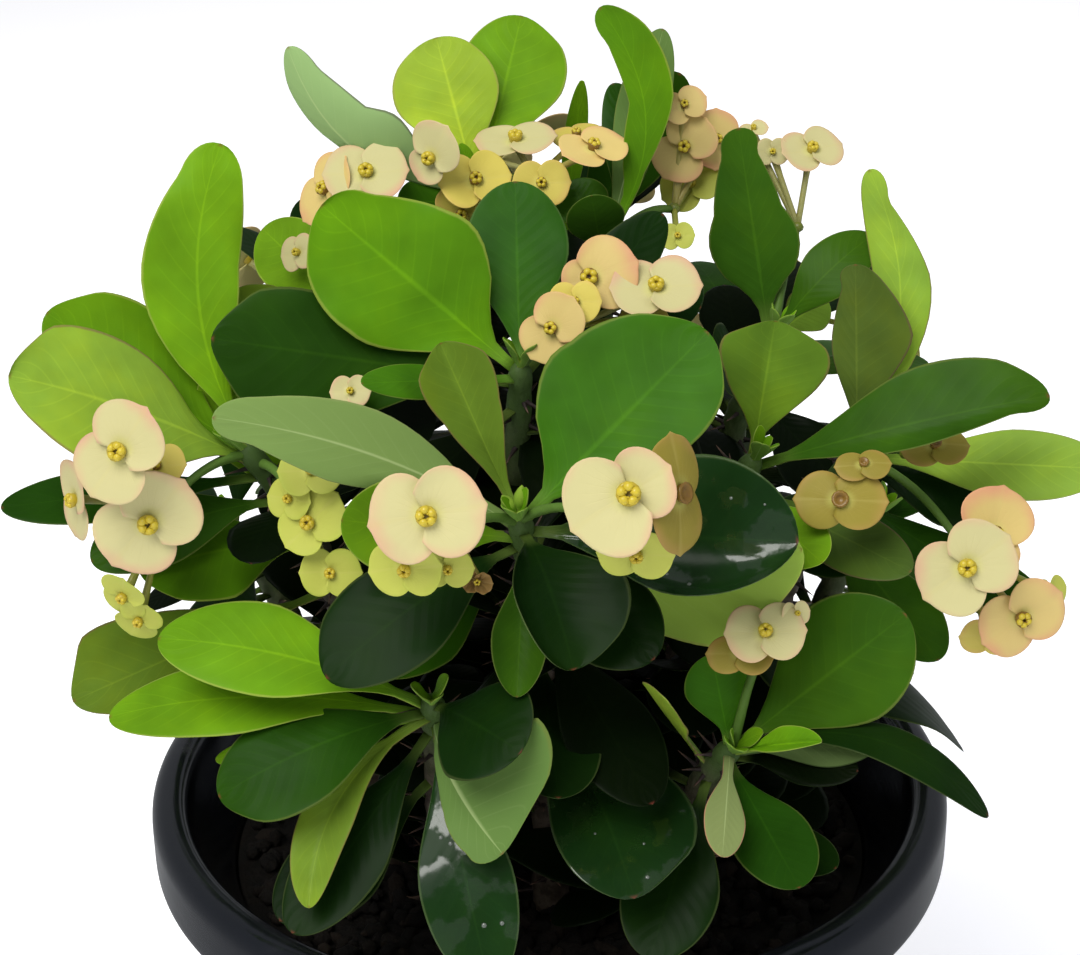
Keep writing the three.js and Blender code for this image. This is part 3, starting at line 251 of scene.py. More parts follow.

# ---- the plan ----

# Each stem has its foot in the soil and its tip. A leaf is: how far down from the stem's tip it grows,
# the place of its own tip, its width, the way its upper face looks, its tone, and its form. A fan leaf
# is: heading, rise (degrees) and length. These are the part's own places, but for three leaf tips that
# are moved by 0.6 to 5.2 mm, and for the leaves of upper_left and top_right in the near-black tone,
# which only the scene has. The darker tones, given to leaves low in the plant and inside it, carry
# painted shade as well as the leaves' own dark green.
STEMS = {
    "front_left": dict(foot=(-30, -52), tip=(-30, -88, 274), leaves=[
        (3, (-7, -116.5, 275.6), 30, (1, -8, 6), "shaded_deep", dict(arch=0.1)),
        (12, (-12, -118.5, 247.4), 32, (2, 8, -1), "moss",
         dict(arch=-0.12, cup=-0.3, twist=-30, left=(0.5, 0.4, 0.6), right=(1.2, 2, 1.9))),
        (6, (-99, -86, 292), 26, (-1, -5, 9), "bright", dict(arch=0.1, right=(1, 1.1, 1.1))),
        (12, (-114, -84, 268), 23, (-1, -4, 9), "bright", dict(arch=0.1)),
        (8, (-84, -104, 256), 28, (-2, -6, 8), "dark", dict(arch=0.1, left=(1, 1.1, 1.2))),
        (8, (-61, -120, 233), 15, (-3, -8, 4), "khaki", dict(fold=0.3, sway=0.15)),
        (18, (-66, -118, 224), 23, (-4, -8, 4), "shaded_deep"),
        (12, (-16, -126, 213), 25, (0, -9, 4), "wet", dict(arch=0.1)),
        (44, (-72, -96, 212), 26, (-3, -7, 7), "shaded_deep"),
        (10, (-88, -80, 252), 9, (-1, -8, 4), "bright"),
    ]),
    "front": dict(foot=(0, -36), tip=(-7, -80, 322), leaves=[
        (6, (-79, -98, 358), 24, (0, 9, -1), "pale",
         dict(sway=-0.06, left=(1.2, 0.95, 0.8), right=(1, 0.9, 0.6))),
        (12, (-50, -95, 329), 25, (-1, -9, 3), "bright"),
        (3, (-26, -62, 362), 20, (2, -8, 3), "sage",
         dict(fold=0.5, left=(0.9, 0.95, 1.5), right=(0.8, 0.85, 1.3))),
        (4, (41, -62, 364), 32, (-1, -8, 6), "mid",
         dict(cup=0.15, left=(2.4, 1.5, 1.3), right=(1.5, 1.1, 1.2))),
        (8, (61, -100, 324), 42, (0, -9, 4), "wet", dict(cup=0.1, cup_r=1.5)),
        (6, (6, -114, 297), 32, (1, -7, 7), "shaded_deep",
         dict(arch=0.15, cup=0.5, cup_r=1.5, left=(1.1, 1.2, 1.2))),
        (14, (-8, -106, 285), 16, (0, -8, 5), "moss", dict(cup=0.8)),
        (14, (-55, -104, 290), 28, (-3, -7, 6), "shaded_deep", dict(arch=0.1, right=(1, 1.1, 1.2))),
        (84, (21, -115, 231), 35, (2, -7, 6), "wet",
         dict(arch=0.1, left=(1.2, 1.3, 1.5), right=(0.8, 0.8, 1))),
        (44, (26, -104, 252), 25, (3, -8, 4), "shade_dark"),
        (24, (26, -104, 294), 26, (2, -8, 5), "shaded_deep", dict(arch=0.1)),
        (62, (2, -110, 258), 26, (1, -8, 5), "shaded_deep"),
        (44, (63, -92, 318), 29, (0, 9, -2), "lemon", dict(left=(1.6, 1.5, 1.1))),
    ]),
    "front_right": dict(foot=(36, -50), tip=(48, -86, 257), leaves=[
        (4, (42, -125, 250), 11, (0, 9, -3), "blush"),
        (3, (42, -82, 283), 18, (0, -9, 3), "mid"),
        (3, (91, -84, 295), 31, (-2, -8, 5), "moss", dict(left=(1.1, 1.1, 1.1), right=(1.1, 1.1, 1.1))),
        (3, (68, -106, 271), 10, (0, -6, 8), "bright", dict(fold=0.7)),
        (4, (86, -92, 264), 14, (0, 6, -6), "shade_dark"),
        (8, (112, -62, 242), 28, (1, -1, 9), "shaded_deep", dict(arch=0.3)),
        (10, (113, -98, 243), 14, (1, -3, 9), "shaded_deep", dict(arch=0.28)),
        (8, (62, -120, 237), 22, (2, -8, 5), "dark"),
        (22, (25, -112, 210), 26, (-2, -8, 5), "shaded_deep"),
        (8, (79, -96, 256), 12, (0, -6, 8), "shade_dark"),
        (44, (74, -100, 229), 17, (3, -7, 7), "shaded_deep"),
        (22, (28, -122, 293), 16, (-5, -7, 3), "olive", dict(sway=-0.1)),
    ]),
    "middle": dict(foot=(-10, -8), tip=(-6, -42, 348), leaves=[
        (6, (-7, -12, 388), 28, (0, -9, 4), "blue"),
        (4, (-57, -30, 388), 36, (1, -9, 4), "fresh",
         dict(cup=0.2, wave=0.03, left=(1.5, 1.2, 1.2), right=(1.9, 1.15, 0.8))),
        (8, (-86, -44, 357), 28, (-1, -8, 5), "dark", dict(left=(1.2, 1.35, 1.5), right=(1, 1.1, 1.4))),
        (6, (-45, -76, 357), 12, (0, -6, 8), "mid"),
        (6, (32, -20, 381), 17, (0, -8, 4), "shaded_deep"),
        (16, (-46, -78, 318), 24, (-1, -6, 8), "shade_dark"),
        (74, (-50, -60, 268), 26, (-1, -7, 6), "mid"),
        (62, (34, -64, 290), 26, (1, -7, 6), "shaded_deep"),
    ]),
    "right": dict(foot=(34, -14), tip=(55, -52, 325), leaves=[
        (3, (60, -42, 359), 27, (1, -9, 2), "sage",
         dict(fold=0.4, left=(0.9, 1, 1.5), right=(1, 1.1, 1.4))),
        (6, (127, -66, 347), 26, (0, -8, 6), "moss",
         dict(arch=0.08, cup_r=1.2, left=(1.1, 1.1, 1.2), right=(1, 0.72, 0.45))),
        (14, (92, -82, 306), 18, (0, -7, 7), "dusk"),
        (15, (68, -92, 314), 17, (0, -8, 5), "bright", dict(right=(1, 1.2, 1.2))),
        (18, (82, -70, 302), 20, (0, -7, 7), "shaded_deep"),
        (54, (84, -64, 258), 26, (1, -7, 6), "shaded_deep"),
    ]),
    "far_right": dict(foot=(60, 4), tip=(87, -28, 317), leaves=[
        (3, (90, 10, 383), 18, (-2, -9, 3), "olive",
         dict(sway=0.13, left=(0.9, 0.8, 0.9), right=(1.35, 0.95, 0.25))),
        (4, (85, -8, 362), 22, (-3, -8, 2), "dusk",
         dict(cup=0.2, left=(0.8, 0.62, 0.45), right=(1.5, 1.5, 1.1))),
        (6, (148, -50, 319), 20, (0, -8, 6), "lime"),
        (10, (125, -34, 305), 26, (0, -7, 7), "shaded_deep"),
        (20, (136, -62, 278), 19, (0, -6, 8), "dark"),
        (14, (66, -58, 300), 22, (0, -8, 5), "shaded_deep"),
        (30, (104, -64, 270), 22, (1, -6, 8), "moss"),
    ]),
    "left": dict(foot=(-48, -14), tip=(-80, -45, 327), leaves=[
        (4, (-84, -14, 400), 30, (2, -9, 2), "bright",
         dict(sway=-0.12, wave=0.05, left=(1.3, 1, 0.72), right=(1, 0.75, 0.85))),
        (6, (-130, -34, 361), 27, (-2, -5, 9), "fresh", dict(right=(1.3, 1.35, 1.4))),
        (10, (-133, -70, 358), 31, (0, -6, 8), "olive",
         dict(arch=0.06, wave=0.04, left=(1.3, 1.4, 1), right=(1.1, 1.25, 1.5))),
        (34, (-87, -34, 346), 24, (1, -9, 2), "bright"),
        (60, (-128, -62, 260), 26, (-1, -6, 8), "sage", dict(left=(0.4, 0.5, 1), right=(1, 1.2, 1.8))),
        (44, (-107, -60, 297), 26, (-1, -6, 8), "fresh",
         dict(arch=0.1, left=(1, 1.2, 1.2), right=(1, 1.3, 2.1))),
        (14, (-142, -58, 316), 17, (-1, -5, 8), "dark"),
        (24, (-120, -58, 300), 22, (0, -6, 8), "moss", dict(arch=0.1)),
        (72, (-98, -34, 252), 26, (-1, -7, 6), "shaded_deep"),
    ]),
    "upper_left": dict(foot=(-34, 22), tip=(-55, 0, 351), leaves=[
        (4, (-80, 29, 362), 22, (-2, -8, 5), "bright"),
        (10, (-104, 2, 336), 26, (-2, -6, 8), "dark"),
        (4, (-84, -20, 358), 14, (-1, -6, 7), "sage"),
        (10, (-36, -42, 322), 24, (0, -6, 8), "shade_dark"),
    ]),
    "top": dict(foot=(14, 14), tip=(17, -4, 369), leaves=[
        (3, (16, 8, 429.4), 20, (-3, -9, 1), "fresh",
         dict(sway=0.2, cup=0.3, left=(1.2, 0.42, 0.5), right=(0.3, 0.9, 1.1))),
        (3, (20, 22, 405), 14, (0, -9, 3), "dark", dict(sway=0.12)),
        (3, (8, 10, 381), 16, (0, -9, 4), "moss"),
        (8, (13, -22, 387), 16, (0, -9, 2), "moss"),
        (14, (42, -24, 356), 22, (0, -8, 5), "shaded_deep"),
        (112, (22, -34, 254), 26, (1, -7, 6), "shaded_deep"),
        (5, (34, 26, 419), 15, (0, 9, 2), "moss"),
    ]),
    "top_left": dict(foot=(-10, 34), tip=(-18, 18, 378), leaves=[
        (3, (-69, 24, 416), 21, (2.5, 8, 3.5), "silver",
         dict(arch=-0.14, sway=0.1, cup=0.5, left=(2.9, 1.2, 0.8), right=(0.4, 0.5, 1))),
        (4, (-29, 40, 414), 31, (0, -8, 6), "lemon", dict(left=(1, 1.05, 1.1), right=(0.9, 0.9, 0.9))),
        (4, (-5, 56, 416), 29, (0, -8, 5), "bright", dict(right=(0.92, 1.15, 1.25))),
        (6, (-40, 12, 375), 14, (0, -8, 5), "mid"),
    ]),
    "top_right": dict(foot=(42, 26), tip=(65, 2, 339), leaves=[
        (4, (54, 11, 395), 25, (-1, -9, 3), "moss",
         dict(left=(1.9, 0.85, 0.62), right=(1.9, 0.72, 0.45))),
        (4, (92, 10, 364), 17, (1, -6, 8), "moss", dict(arch=0.16)),
        (3, (81, 20, 342), 14, (0, -8, 5), "olive"),
        (14, (46, -20, 340), 22, (0, -8, 5), "shaded_deep"),
        (22, (86, -24, 298), 24, (0, -6, 8), "shade_dark"),
    ]),
    "back": dict(foot=(6, 56), tip=(6, 76, 338), leaves=[
        (5, (41, 58, 398), 24, (2, -8, 4), "dark"),
        (3, (12, 40, 401), 7, (0, -9, 3), "bright"),
    ], fan=[
        (50, 52, 44), (158, 45, 62), (18, 45, 62), (100, 15, 70), (60, 5, 66), (135, 0, 64),
        (90, -20, 60),
    ]),
    "back_left": dict(foot=(-42, 42), tip=(-60, 60, 318), fan=[
        (168, 42, 52), (110, 40, 58), (185, 20, 56), (130, 8, 66), (165, -5, 64), (100, -10, 60),
        (215, 0, 44), (150, -35, 56),
    ]),
    "back_right": dict(foot=(46, 46), tip=(68, 60, 312), fan=[
        (72, 20, 46), (20, 30, 56), (104, 18, 60), (-5, 10, 56), (40, 0, 66), (70, -15, 60),
        (10, -18, 54), (95, -38, 54),
    ]),
    "side_left": dict(foot=(-66, 14), tip=(-96, 24, 272), fan=[
        (85, 20, 46), (130, 0, 52), (170, 30, 34), (215, -8, 38), (255, 0, 50), (180, -45, 44),
        (140, -38, 52),
    ]),
    "side_right": dict(foot=(74, 22), tip=(100, 26, 270), fan=[
        (80, 25, 50), (50, 0, 50), (15, 25, 30), (-30, -12, 36), (-75, 0, 48), (5, -45, 44),
        (45, -38, 52),
    ]),
    "low_back": dict(foot=(-18, 74), tip=(-22, 96, 270), fan=[
        (145, 26, 52), (90, 0, 60), (60, 20, 50), (150, -12, 52), (110, -38, 54),
    ]),
    "low_back_right": dict(foot=(28, 76), tip=(40, 98, 262), fan=[
        (85, 15, 56), (50, -5, 56), (20, 15, 50), (115, -20, 48), (70, -42, 54),
    ]),
}

# Each head grows on a stem, at a drop from its tip, and its stalk ends at the fork. A bloom is: its
# middle, the way it faces, its turn in that plane (degrees), its span, its kind, and the share of the
# span that its lesser bract has.
HEADS = {
    "left_outer": dict(stem="left", drop=4, fork=(-98, -62, 318), blooms=[
        ((-104, -88, 345), (-3, -9, 4), 60, 25, "cream"),
        ((-119, -75, 326), (-8, -5, 1), 80, 20, "cream"),
        ((-99, -85, 324), (1, -9, 1), 48, 27, "cream"),
        ((-97, -77, 336), (0, -6, 8), 0, 14, "butter"),
        ((-108, -80, 301), (-4, -8, -3), 70, 15, "young"),
        ((-105, -78, 293), (-2, -9, -3), 60, 14, "young"),
    ]),
    "left_inner": dict(stem="left", drop=8, fork=(-64, -62, 318), blooms=[
        ((-60, -78, 320), (-2, -8, 5), 50, 20, "young", 0.8),
        ((-59, -74, 333), (0, -7, 7), 0, 16, "young"),
        ((-65, -74, 325), (-3, -8, 4), 0, 12, "young"),
        ((-55, -80, 307), (0, -9, 3), 0, 15, "young"),
        ((-50, -52, 345), (0, -8, 5), 0, 10, "cream"),
    ]),
    "front_left": dict(stem="front", drop=4, fork=(-22, -98, 326), blooms=[
        ((-28, -118, 341), (0, -9, 3), 10, 26, "cream"),
        ((-34, -112, 324), (-1, -9, 0), 10, 17, "young"),
        ((-24, -108, 322), (1, -9, 0), 0, 12, "young"),
        ((-17, -105, 317), (0, -9, 2), 0, 9, "dry"),
    ]),
    "front_right": dict(stem="front", drop=2, fork=(14, -100, 330), blooms=[
        ((19, -118, 346), (-1, -9, 3), 215, 30, "cream", 0.72),
        ((32, -112, 343), (7, -6, 3), 80, 27, "ochre"),
        ((21, -112, 327), (0, -9, -2), 0, 17, "young"),
    ]),
    "middle": dict(stem="middle", drop=1, fork=(8, -36, 356), blooms=[
        ((12, -38, 370), (-1, -8, 5), 20, 24, "peach", 0.6),
        ((29, -42, 369), (0, -5, 8), 0, 22, "cream"),
        ((2, -48, 360), (-3, -8, 4), 60, 18, "peach"),
        ((8, -45, 366), (0, -8, 5), 0, 13, "butter"),
        ((26, -40, 360), (0, -9, 3), 0, 12, "ochre"),
    ]),
    "top_left": dict(stem="top_left", drop=1, fork=(-22, 8, 382), blooms=[
        ((-30, 0, 391), (-5, -8, 2), 62, 20, "cream", 0.7),
        ((-18, 3, 384), (2, -7, 6), 0, 19, "butter"),
        ((-22, 4, 374), (0, -9, 0), 90, 17, "butter"),
    ]),
    "top_centre": dict(stem="top_left", drop=2, fork=(-2, 14, 380), blooms=[
        ((-7, 18, 391), (0, -2, 9), 0, 21, "cream"),
        ((10, 24, 390), (0, -2, 9), 0, 14, "butter"),
        ((0, 2, 383), (0, -8, 4), 0, 15, "butter"),
        ((14, -4, 395), (2, -3, 9), 0, 18, "peach"),
    ]),
    "upper_left": dict(stem="upper_left", drop=2, fork=(-58, 10, 366), blooms=[
        ((-48, 8, 385), (0, -6, 7), 0, 22, "cream"),
        ((-60, 12, 379), (-6, -5, 5), 70, 21, "peach"),
        ((-68, 8, 362), (-5, -7, 4), 20, 12, "cream"),
    ]),
    "top_right": dict(stem="top", drop=3, fork=(37, 15, 371), blooms=[
        ((40, 20, 387), (-2, -8, 5), 60, 19, "peach"),
        ((49, 24, 388), (3, -8, 4), 80, 16, "peach"),
        ((40, 24, 398), (0, -7, 6), 20, 12, "peach"),
        ((42, 22, 376), (-2, -7, 6), 34, 17, "young"),
        ((37, 0, 368), (0, -8, 5), 0, 9, "young"),
    ]),
    "top_far": dict(stem="top_right", drop=2, fork=(72, 18, 364), blooms=[
        ((65, 25, 384), (0, -9, 3), 0, 9, "cream"),
        ((76, 24, 385), (2, -5, 8), 0, 17, "cream"),
        ((60, 30, 389), (0, -4, 9), 0, 8, "cream"),
    ]),
    "right_inner": dict(stem="far_right", drop=2, fork=(82, -55, 314), blooms=[
        ((73, -83, 327), (-1, -8, 5), 0, 22, "ochre"),
        ((79, -79, 335), (0, -5, 8), 0, 13, "ochre"),
    ]),
    "right_outer": dict(stem="far_right", drop=6, fork=(110, -58, 300), blooms=[
        ((106, -82, 307), (-1, -9, 3), 40, 25, "cream"),
        ((114, -74, 312), (2, -8, 5), 70, 24, "peach", 0.8),
        ((122, -78, 290), (2, -9, 1), 30, 22, "peach"),
        ((132, -66, 291), (6, -7, 3), 0, 10, "young"),
        ((115, -72, 281), (0, -9, -2), 0, 14, "butter"),
    ]),
    "low_right": dict(stem="front_right", drop=1, fork=(54, -86, 284), blooms=[
        ((54, -96, 297), (0, -6, 8), 0, 19, "cream"),
        ((62, -92, 300), (3, -8, 4), 0, 7, "cream"),
        ((48, -94, 290), (-1, -6, 8), 0, 16, "ochre"),
    ]),
    "right_high": dict(stem="far_right", drop=3, fork=(96, -40, 320), blooms=[
        ((102, -50, 327), (0, -5, 8), 0, 17, "ochre"),
    ]),
    "back": dict(stem="back", drop=1, fork=(8, 92, 356), blooms=[
        ((10, 102, 368), (0, 6, 8), 20, 26, "cream"),
        ((-14, 108, 358), (-3, 8, 5), 60, 25, "cream"),
        ((28, 112, 352), (4, 8, 3), 100, 24, "cream"),
    ]),
    "back_left": dict(stem="back_left", drop=1, fork=(-78, 78, 322), blooms=[
        ((-92, 84, 334), (-5, 7, 4), 30, 26, "cream"),
        ((-74, 104, 328), (-2, 9, 3), 80, 25, "cream"),
        ((-106, 68, 322), (-8, 4, 3), 10, 22, "young"),
    ]),
    "back_right": dict(stem="back_right", drop=1, fork=(84, 78, 314), blooms=[
        ((96, 90, 322), (5, 7, 4), 30, 26, "cream"),
        ((80, 108, 314), (2, 9, 3), 70, 25, "ochre"),
        ((112, 74, 310), (8, 4, 3), 0, 22, "young"),
    ]),
    "low_back": dict(stem="low_back", drop=1, fork=(-24, 116, 286), blooms=[
        ((-20, 136, 300), (0, 9, 3), 20, 26, "cream"),
        ((-38, 130, 290), (-3, 9, 1), 70, 22, "young"),
    ]),
    "low_back_right": dict(stem="low_back_right", drop=1, fork=(52, 116, 272), blooms=[
        ((54, 134, 284), (3, 9, 2), 20, 26, "cream"),
        ((70, 122, 274), (6, 7, 1), 60, 22, "cream"),
    ]),
}

# ---- small helpers ----

def display(colour):
    """Display values from 0 to 255 as linear light."""
    v = np.array(colour, float) / 255
    return np.where(v <= 0.04045, v / 12.92, ((v + 0.055) / 1.055) ** 2.4)


def unit(v):
    v = np.asarray(v, float)
    return v / np.linalg.norm(v, axis=-1, keepdims=True)


def heading_vector(heading, rise):
    h, r = math.radians(heading), math.radians(rise)
    return np.array([math.cos(r) * math.cos(h), math.cos(r) * math.sin(h), math.sin(r)])


def axes_about(along):
    """Two directions square to along."""
    x = unit(np.cross(along, OFF_AXIS))
    return x, np.cross(along, x)


def round_angles(count):
    return np.arange(count) * 2 * math.pi / count


def circle_about(axis, sides):
    """Directions all round an axis, or all round each of several."""
    x, y = axes_about(axis)
    angle = round_angles(sides)[:, None]
    return x[..., None, :] * np.cos(angle) + y[..., None, :] * np.sin(angle)


def bowed(k, start, bow, end):
    """Places on a curve from start to end that is drawn towards bow."""
    return (1 - k) ** 2 * start + 2 * k * (1 - k) * bow + k * k * end


class Skin:
    """Gathers points, faces and what each point carries, and makes one mesh of them."""

    CARRIED = {"tone": ("FLOAT_COLOR", "color", 4), "rim": ("FLOAT_VECTOR", "vector", 3),
               "at": ("FLOAT_VECTOR", "vector", 3)}

    def __init__(self):
        self.points, self.faces, self.count = [], [], 0
        self.carried = {key: [] for key in self.CARRIED}

    def add(self, points, faces, material=0, **carried):
        """faces is a list of arrays, each of faces with one number of corners."""
        points = np.asarray(points, float).reshape(-1, 3)
        for block in faces:
            self.faces.append((np.asarray(block, int) + self.count, material))
        for key, (_, _, size) in self.CARRIED.items():
            value = np.asarray(carried.get(key, np.zeros(size)), float).reshape(-1, size)
            self.carried[key].append(np.broadcast_to(value, (len(points), size)))
        self.points.append(points)
        self.count += len(points)

    def piece(self, name, materials, stands_for, slot):
        mesh = bpy.data.meshes.new(name)
        corners = np.concatenate([block.ravel() for block, _ in self.faces])
        sizes = np.concatenate([np.full(len(block), block.shape[1]) for block, _ in self.faces])
        kinds = np.concatenate([np.full(len(block), kind) for block, kind in self.faces])
        mesh.vertices.add(self.count)
        mesh.loops.add(len(corners))
        mesh.polygons.add(len(sizes))
        mesh.vertices.foreach_set("co", (np.concatenate(self.points) * MM).ravel())
        mesh.loops.foreach_set("vertex_index", corners)
        mesh.polygons.foreach_set("loop_start", np.concatenate([[0], np.cumsum(sizes)[:-1]]))
        mesh.polygons.foreach_set("material_index", kinds)
        mesh.polygons.foreach_set("use_smooth", np.ones(len(sizes), bool))
        mesh.update(calc_edges=True)
        for key, (kind, field, _) in self.CARRIED.items():
            layer = mesh.attributes.new(key, kind, "POINT")
            layer.data.foreach_set(field, np.concatenate(self.carried[key]).ravel())
        for material in materials:
            mesh.materials.append(material)
        piece = bpy.data.objects.new(name, mesh)
        bpy.context.scene.collection.objects.link(piece)
        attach(piece, "root")
        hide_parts(*stands_for)


def rows_of(rows, columns, closed):
    """Quads over a grid of points, joined round the columns where it is closed."""
    across = columns if closed else columns - 1
    i, j = np.meshgrid(np.arange(rows - 1), np.arange(across), indexing="ij")
    a, b = i * columns + j, i * columns + (j + 1) % columns
    return np.stack([a, b, b + columns, a + columns], -1).reshape(-1, 4)


def add_rings(skin, rings, material=0, order=1, **carried):
    """A skin over rings of points, with a cap at each end. Order -1 turns its faces over."""
    count, sides = rings.shape[:2]
    last = (count - 1) * sides
    caps = np.array([np.arange(sides)[::-1], last + np.arange(sides)])
    walls = rows_of(count, sides, True)
    skin.add(rings, [walls[:, ::order], caps[:, ::order]], material, **carried)


def tube(skin, points, radii, sides, material=0, lumps=0.0, **carried):
    """A round closed tube through points."""
    points, radii = np.asarray(points, float), np.asarray(radii, float)
    swell = radii[:, None] * (1 + lumps * random.uniform(-1, 1, (len(points), sides)))
    rings = points[:, None] + circle_about(unit(np.gradient(points, axis=0)), sides) * swell[..., None]
    spread = {
        key: np.repeat(value, sides, axis=0) if np.ndim(value) == 2 else value
        for key, value in carried.items()
    }
    add_rings(skin, rings, material, **spread)


def plate(skin, points, normals, half, at, material=0, **carried):
    """A closed thin plate over a grid of points. Its upper face is on the side of the normals."""
    rows, columns = points.shape[:2]
    over, under = points + normals * half[..., None], points - normals * half[..., None]
    grid = rows_of(rows, columns, False)
    size = rows * columns
    index = np.arange(size).reshape(rows, columns)
    edge = np.concatenate([index[0, :-1], index[:-1, -1], index[-1, :0:-1], index[:0:-1, 0]])
    after = np.roll(edge, -1)
    rim = np.stack([edge, after, after + size, edge + size], -1)
    both = np.concatenate([np.dstack([at, np.ones_like(half)]), np.dstack([at, -np.ones_like(half)])])
    faces = [grid[:, ::-1], grid + size, rim]
    skin.add(np.concatenate([over, under]), faces, material, at=both.reshape(-1, 3), **carried)


def ball(skin, middle, axis, radii, sides=8, rows=5, material=0, dome=False, **carried):
    """An egg whose long way is axis, or its outer half."""
    axis = unit(axis)
    fall = np.linspace(math.pi / 2 if dome else math.pi, 0.02, rows)
    wide = circle_about(axis, sides) * (np.sin(fall) * radii[0])[:, None, None]
    long = (axis * (np.cos(fall) * radii[1])[:, None])[:, None]
    add_rings(skin, np.asarray(middle, float) + wide + long, material, **carried)


# ---- materials ----

class Shader:
    """A Principled material whose nodes are added one call at a time."""

    def __init__(self, name, **sockets):
        self.material = bpy.data.materials.new(name)
        self.material.use_nodes = True
        self.tree = self.material.node_tree
        self.surface = self.tree.nodes["Principled BSDF"]
        for socket, value in sockets.items():
            self.surface.inputs[socket.replace("_", " ")].default_value = value

    def put(self, value, socket):
        if isinstance(value, bpy.types.NodeSocket):
            self.tree.links.new(value, socket)
        elif isinstance(value, (tuple, np.ndarray)) and socket.type == "RGBA":
            socket.default_value = (*value, 1)
        else:
            socket.default_value = value

    def node(self, kind, inputs=(), **settings):
        made = self.tree.nodes.new(kind)
        for key, value in settings.items():
            setattr(made, key, value)
        for key, value in dict(inputs).items():
            self.put(value, made.inputs[key])
        return made

    def math(self, operation, *values):
        return self.node("ShaderNodeMath", enumerate(values), operation=operation).outputs[0]

    def times(self, value, factor):
        return self.math("MULTIPLY", value, factor)

    def plus(self, first, second):
        return self.math("ADD", first, second)

    def scaled(self, value, factor, start):
        """value times factor, and start added."""
        return self.math("MULTIPLY_ADD", value, factor, start)

    def step(self, value, low, high):
        """0 below low, 1 above high, smooth between; the other way round where low is the greater."""
        flip = low > high
        inputs = {0: value, 1: min(low, high), 2: max(low, high), 3: float(flip), 4: float(not flip)}
        return self.node("ShaderNodeMapRange", inputs, interpolation_type="SMOOTHSTEP").outputs[0]

    def mix(self, share, first, second, blend="MIX"):
        inputs = {0: share, 6: first, 7: second}
        return self.node("ShaderNodeMix", data_type="RGBA", blend_type=blend, inputs=inputs).outputs[2]

    def filtered(self, colour, by):
        return self.mix(1.0, colour, by, "MULTIPLY")

    def over(self, colour, other, share, strength):
        """The other colour laid over the first where share is high."""
        return self.mix(self.times(share, strength), colour, other)

    def carried(self, name, output="Vector"):
        return self.node("ShaderNodeAttribute", attribute_name=name).outputs[output]

    def split(self, vector):
        return self.node("ShaderNodeSeparateXYZ", {0: vector}).outputs

    def joined(self, x, y, z):
        return self.node("ShaderNodeCombineXYZ", {0: x, 1: y, 2: z}).outputs[0]

    def place(self):
        return self.node("ShaderNodeTexCoord").outputs["Object"]

    def noise(self, scale, detail, vector=None, rough=0.5):
        vector = vector or self.place()
        inputs = {"Vector": vector, "Scale": scale, "Detail": detail, "Roughness": rough}
        return self.node("ShaderNodeTexNoise", inputs).outputs[0]

    def bump(self, height, strength, distance):
        inputs = {"Height": height, "Strength": strength, "Distance": distance}
        self.put(self.node("ShaderNodeBump", inputs).outputs[0], self.surface.inputs["Normal"])

    def finish(self, colour, roughness):
        self.put(colour, self.surface.inputs["Base Color"])
        self.put(roughness, self.surface.inputs["Roughness"])
        return self.material


def leaf_material():
    """Glossy green with lighter veins, a coloured margin, a paler underside, and films of water."""
    m = Shader("leaf", Coat_Roughness=0.08)
    face, wet, rim = m.carried("tone", "Color"), m.carried("tone", "Alpha"), m.carried("rim")
    along, across, side = m.split(m.carried("at"))
    out = m.math("ABSOLUTE", across)
    blotch = m.noise(30, 2)
    grain = m.noise(150, 4, rough=0.6)

    # Soft blotches, yellower where they are light.
    shade = m.scaled(m.noise(95, 2), 0.5, m.scaled(blotch, 0.7, 0.4))
    colour = m.filtered(face, m.joined(shade, shade, shade))
    sunny = m.step(m.scaled(grain, 0.4, blotch), 0.6, 0.95)
    colour = m.over(colour, m.filtered(colour, SUNNY_FILTER), sunny, 0.6)

    # Side veins run out and forward from the midrib.
    run = m.math("SUBTRACT", m.times(along, SIDE_VEINS), m.times(out, VEIN_SLANT))
    ridge = m.math("PINGPONG", run, 0.5)
    vein = m.times(m.step(ridge, 0.09, 0.0), m.step(out, 1.0, 0.4))
    lighter = m.filtered(colour, VEIN_FILTER)
    colour = m.over(colour, lighter, vein, 0.14)
    rib = m.step(m.math("SUBTRACT", out, m.scaled(along, -0.05, 0.06)), 0.02, -0.03)
    colour = m.over(colour, lighter, rib, 0.4)
    colour = m.over(colour, display(RIB), m.step(along, 0.2, 0.02), 0.3)

    # The underside is paler, with its own light midrib.
    under = m.step(side, 0.3, -0.3)
    pale = m.mix(0.5, face, display(UNDERSIDE))
    pale = m.over(pale, face, blotch, 0.4)
    pale = m.over(pale, display(PALE_RIB), m.math("MAXIMUM", rib, m.times(vein, 0.1)), 0.4)
    colour = m.mix(under, colour, pale)

    # The margin has its own colour, and the very tip is red.
    colour = m.over(colour, rim, m.step(m.scaled(grain, 0.04, out), 0.965, 1.0), 0.6)
    tip = m.times(m.step(along, 0.985, 1.0), m.step(out, 0.5, 0.1))
    colour = m.over(colour, display(TIP_RED), tip, 0.6)

    # Films of water lie in patches on the wetter leaves.
    m.put(m.scaled(wet, 0.05, 0.035), m.surface.inputs["Specular IOR Level"])
    film = m.times(m.step(wet, 0.4, 0.9), m.step(m.noise(110, 4), 0.49, 0.57))
    m.put(m.times(film, m.math("SUBTRACT", 1.0, under)), m.surface.inputs["Coat Weight"])
    rough = m.scaled(grain, 0.14, m.scaled(wet, -0.08, 0.24))
    rough = m.plus(rough, m.times(under, 0.2))
    swell = m.times(m.times(ridge, 0.5), m.step(out, 1.0, 0.5))
    m.bump(m.plus(swell, m.times(grain, 0.35)), 0.28, 0.0005)
    return m.finish(colour, rough)


def dew_material():
    m = Shader("dew", Specular_IOR_Level=0.6)
    return m.finish(m.mix(0.12, m.carried("tone", "Color"), (1.0, 1.0, 1.0)), 0.02)


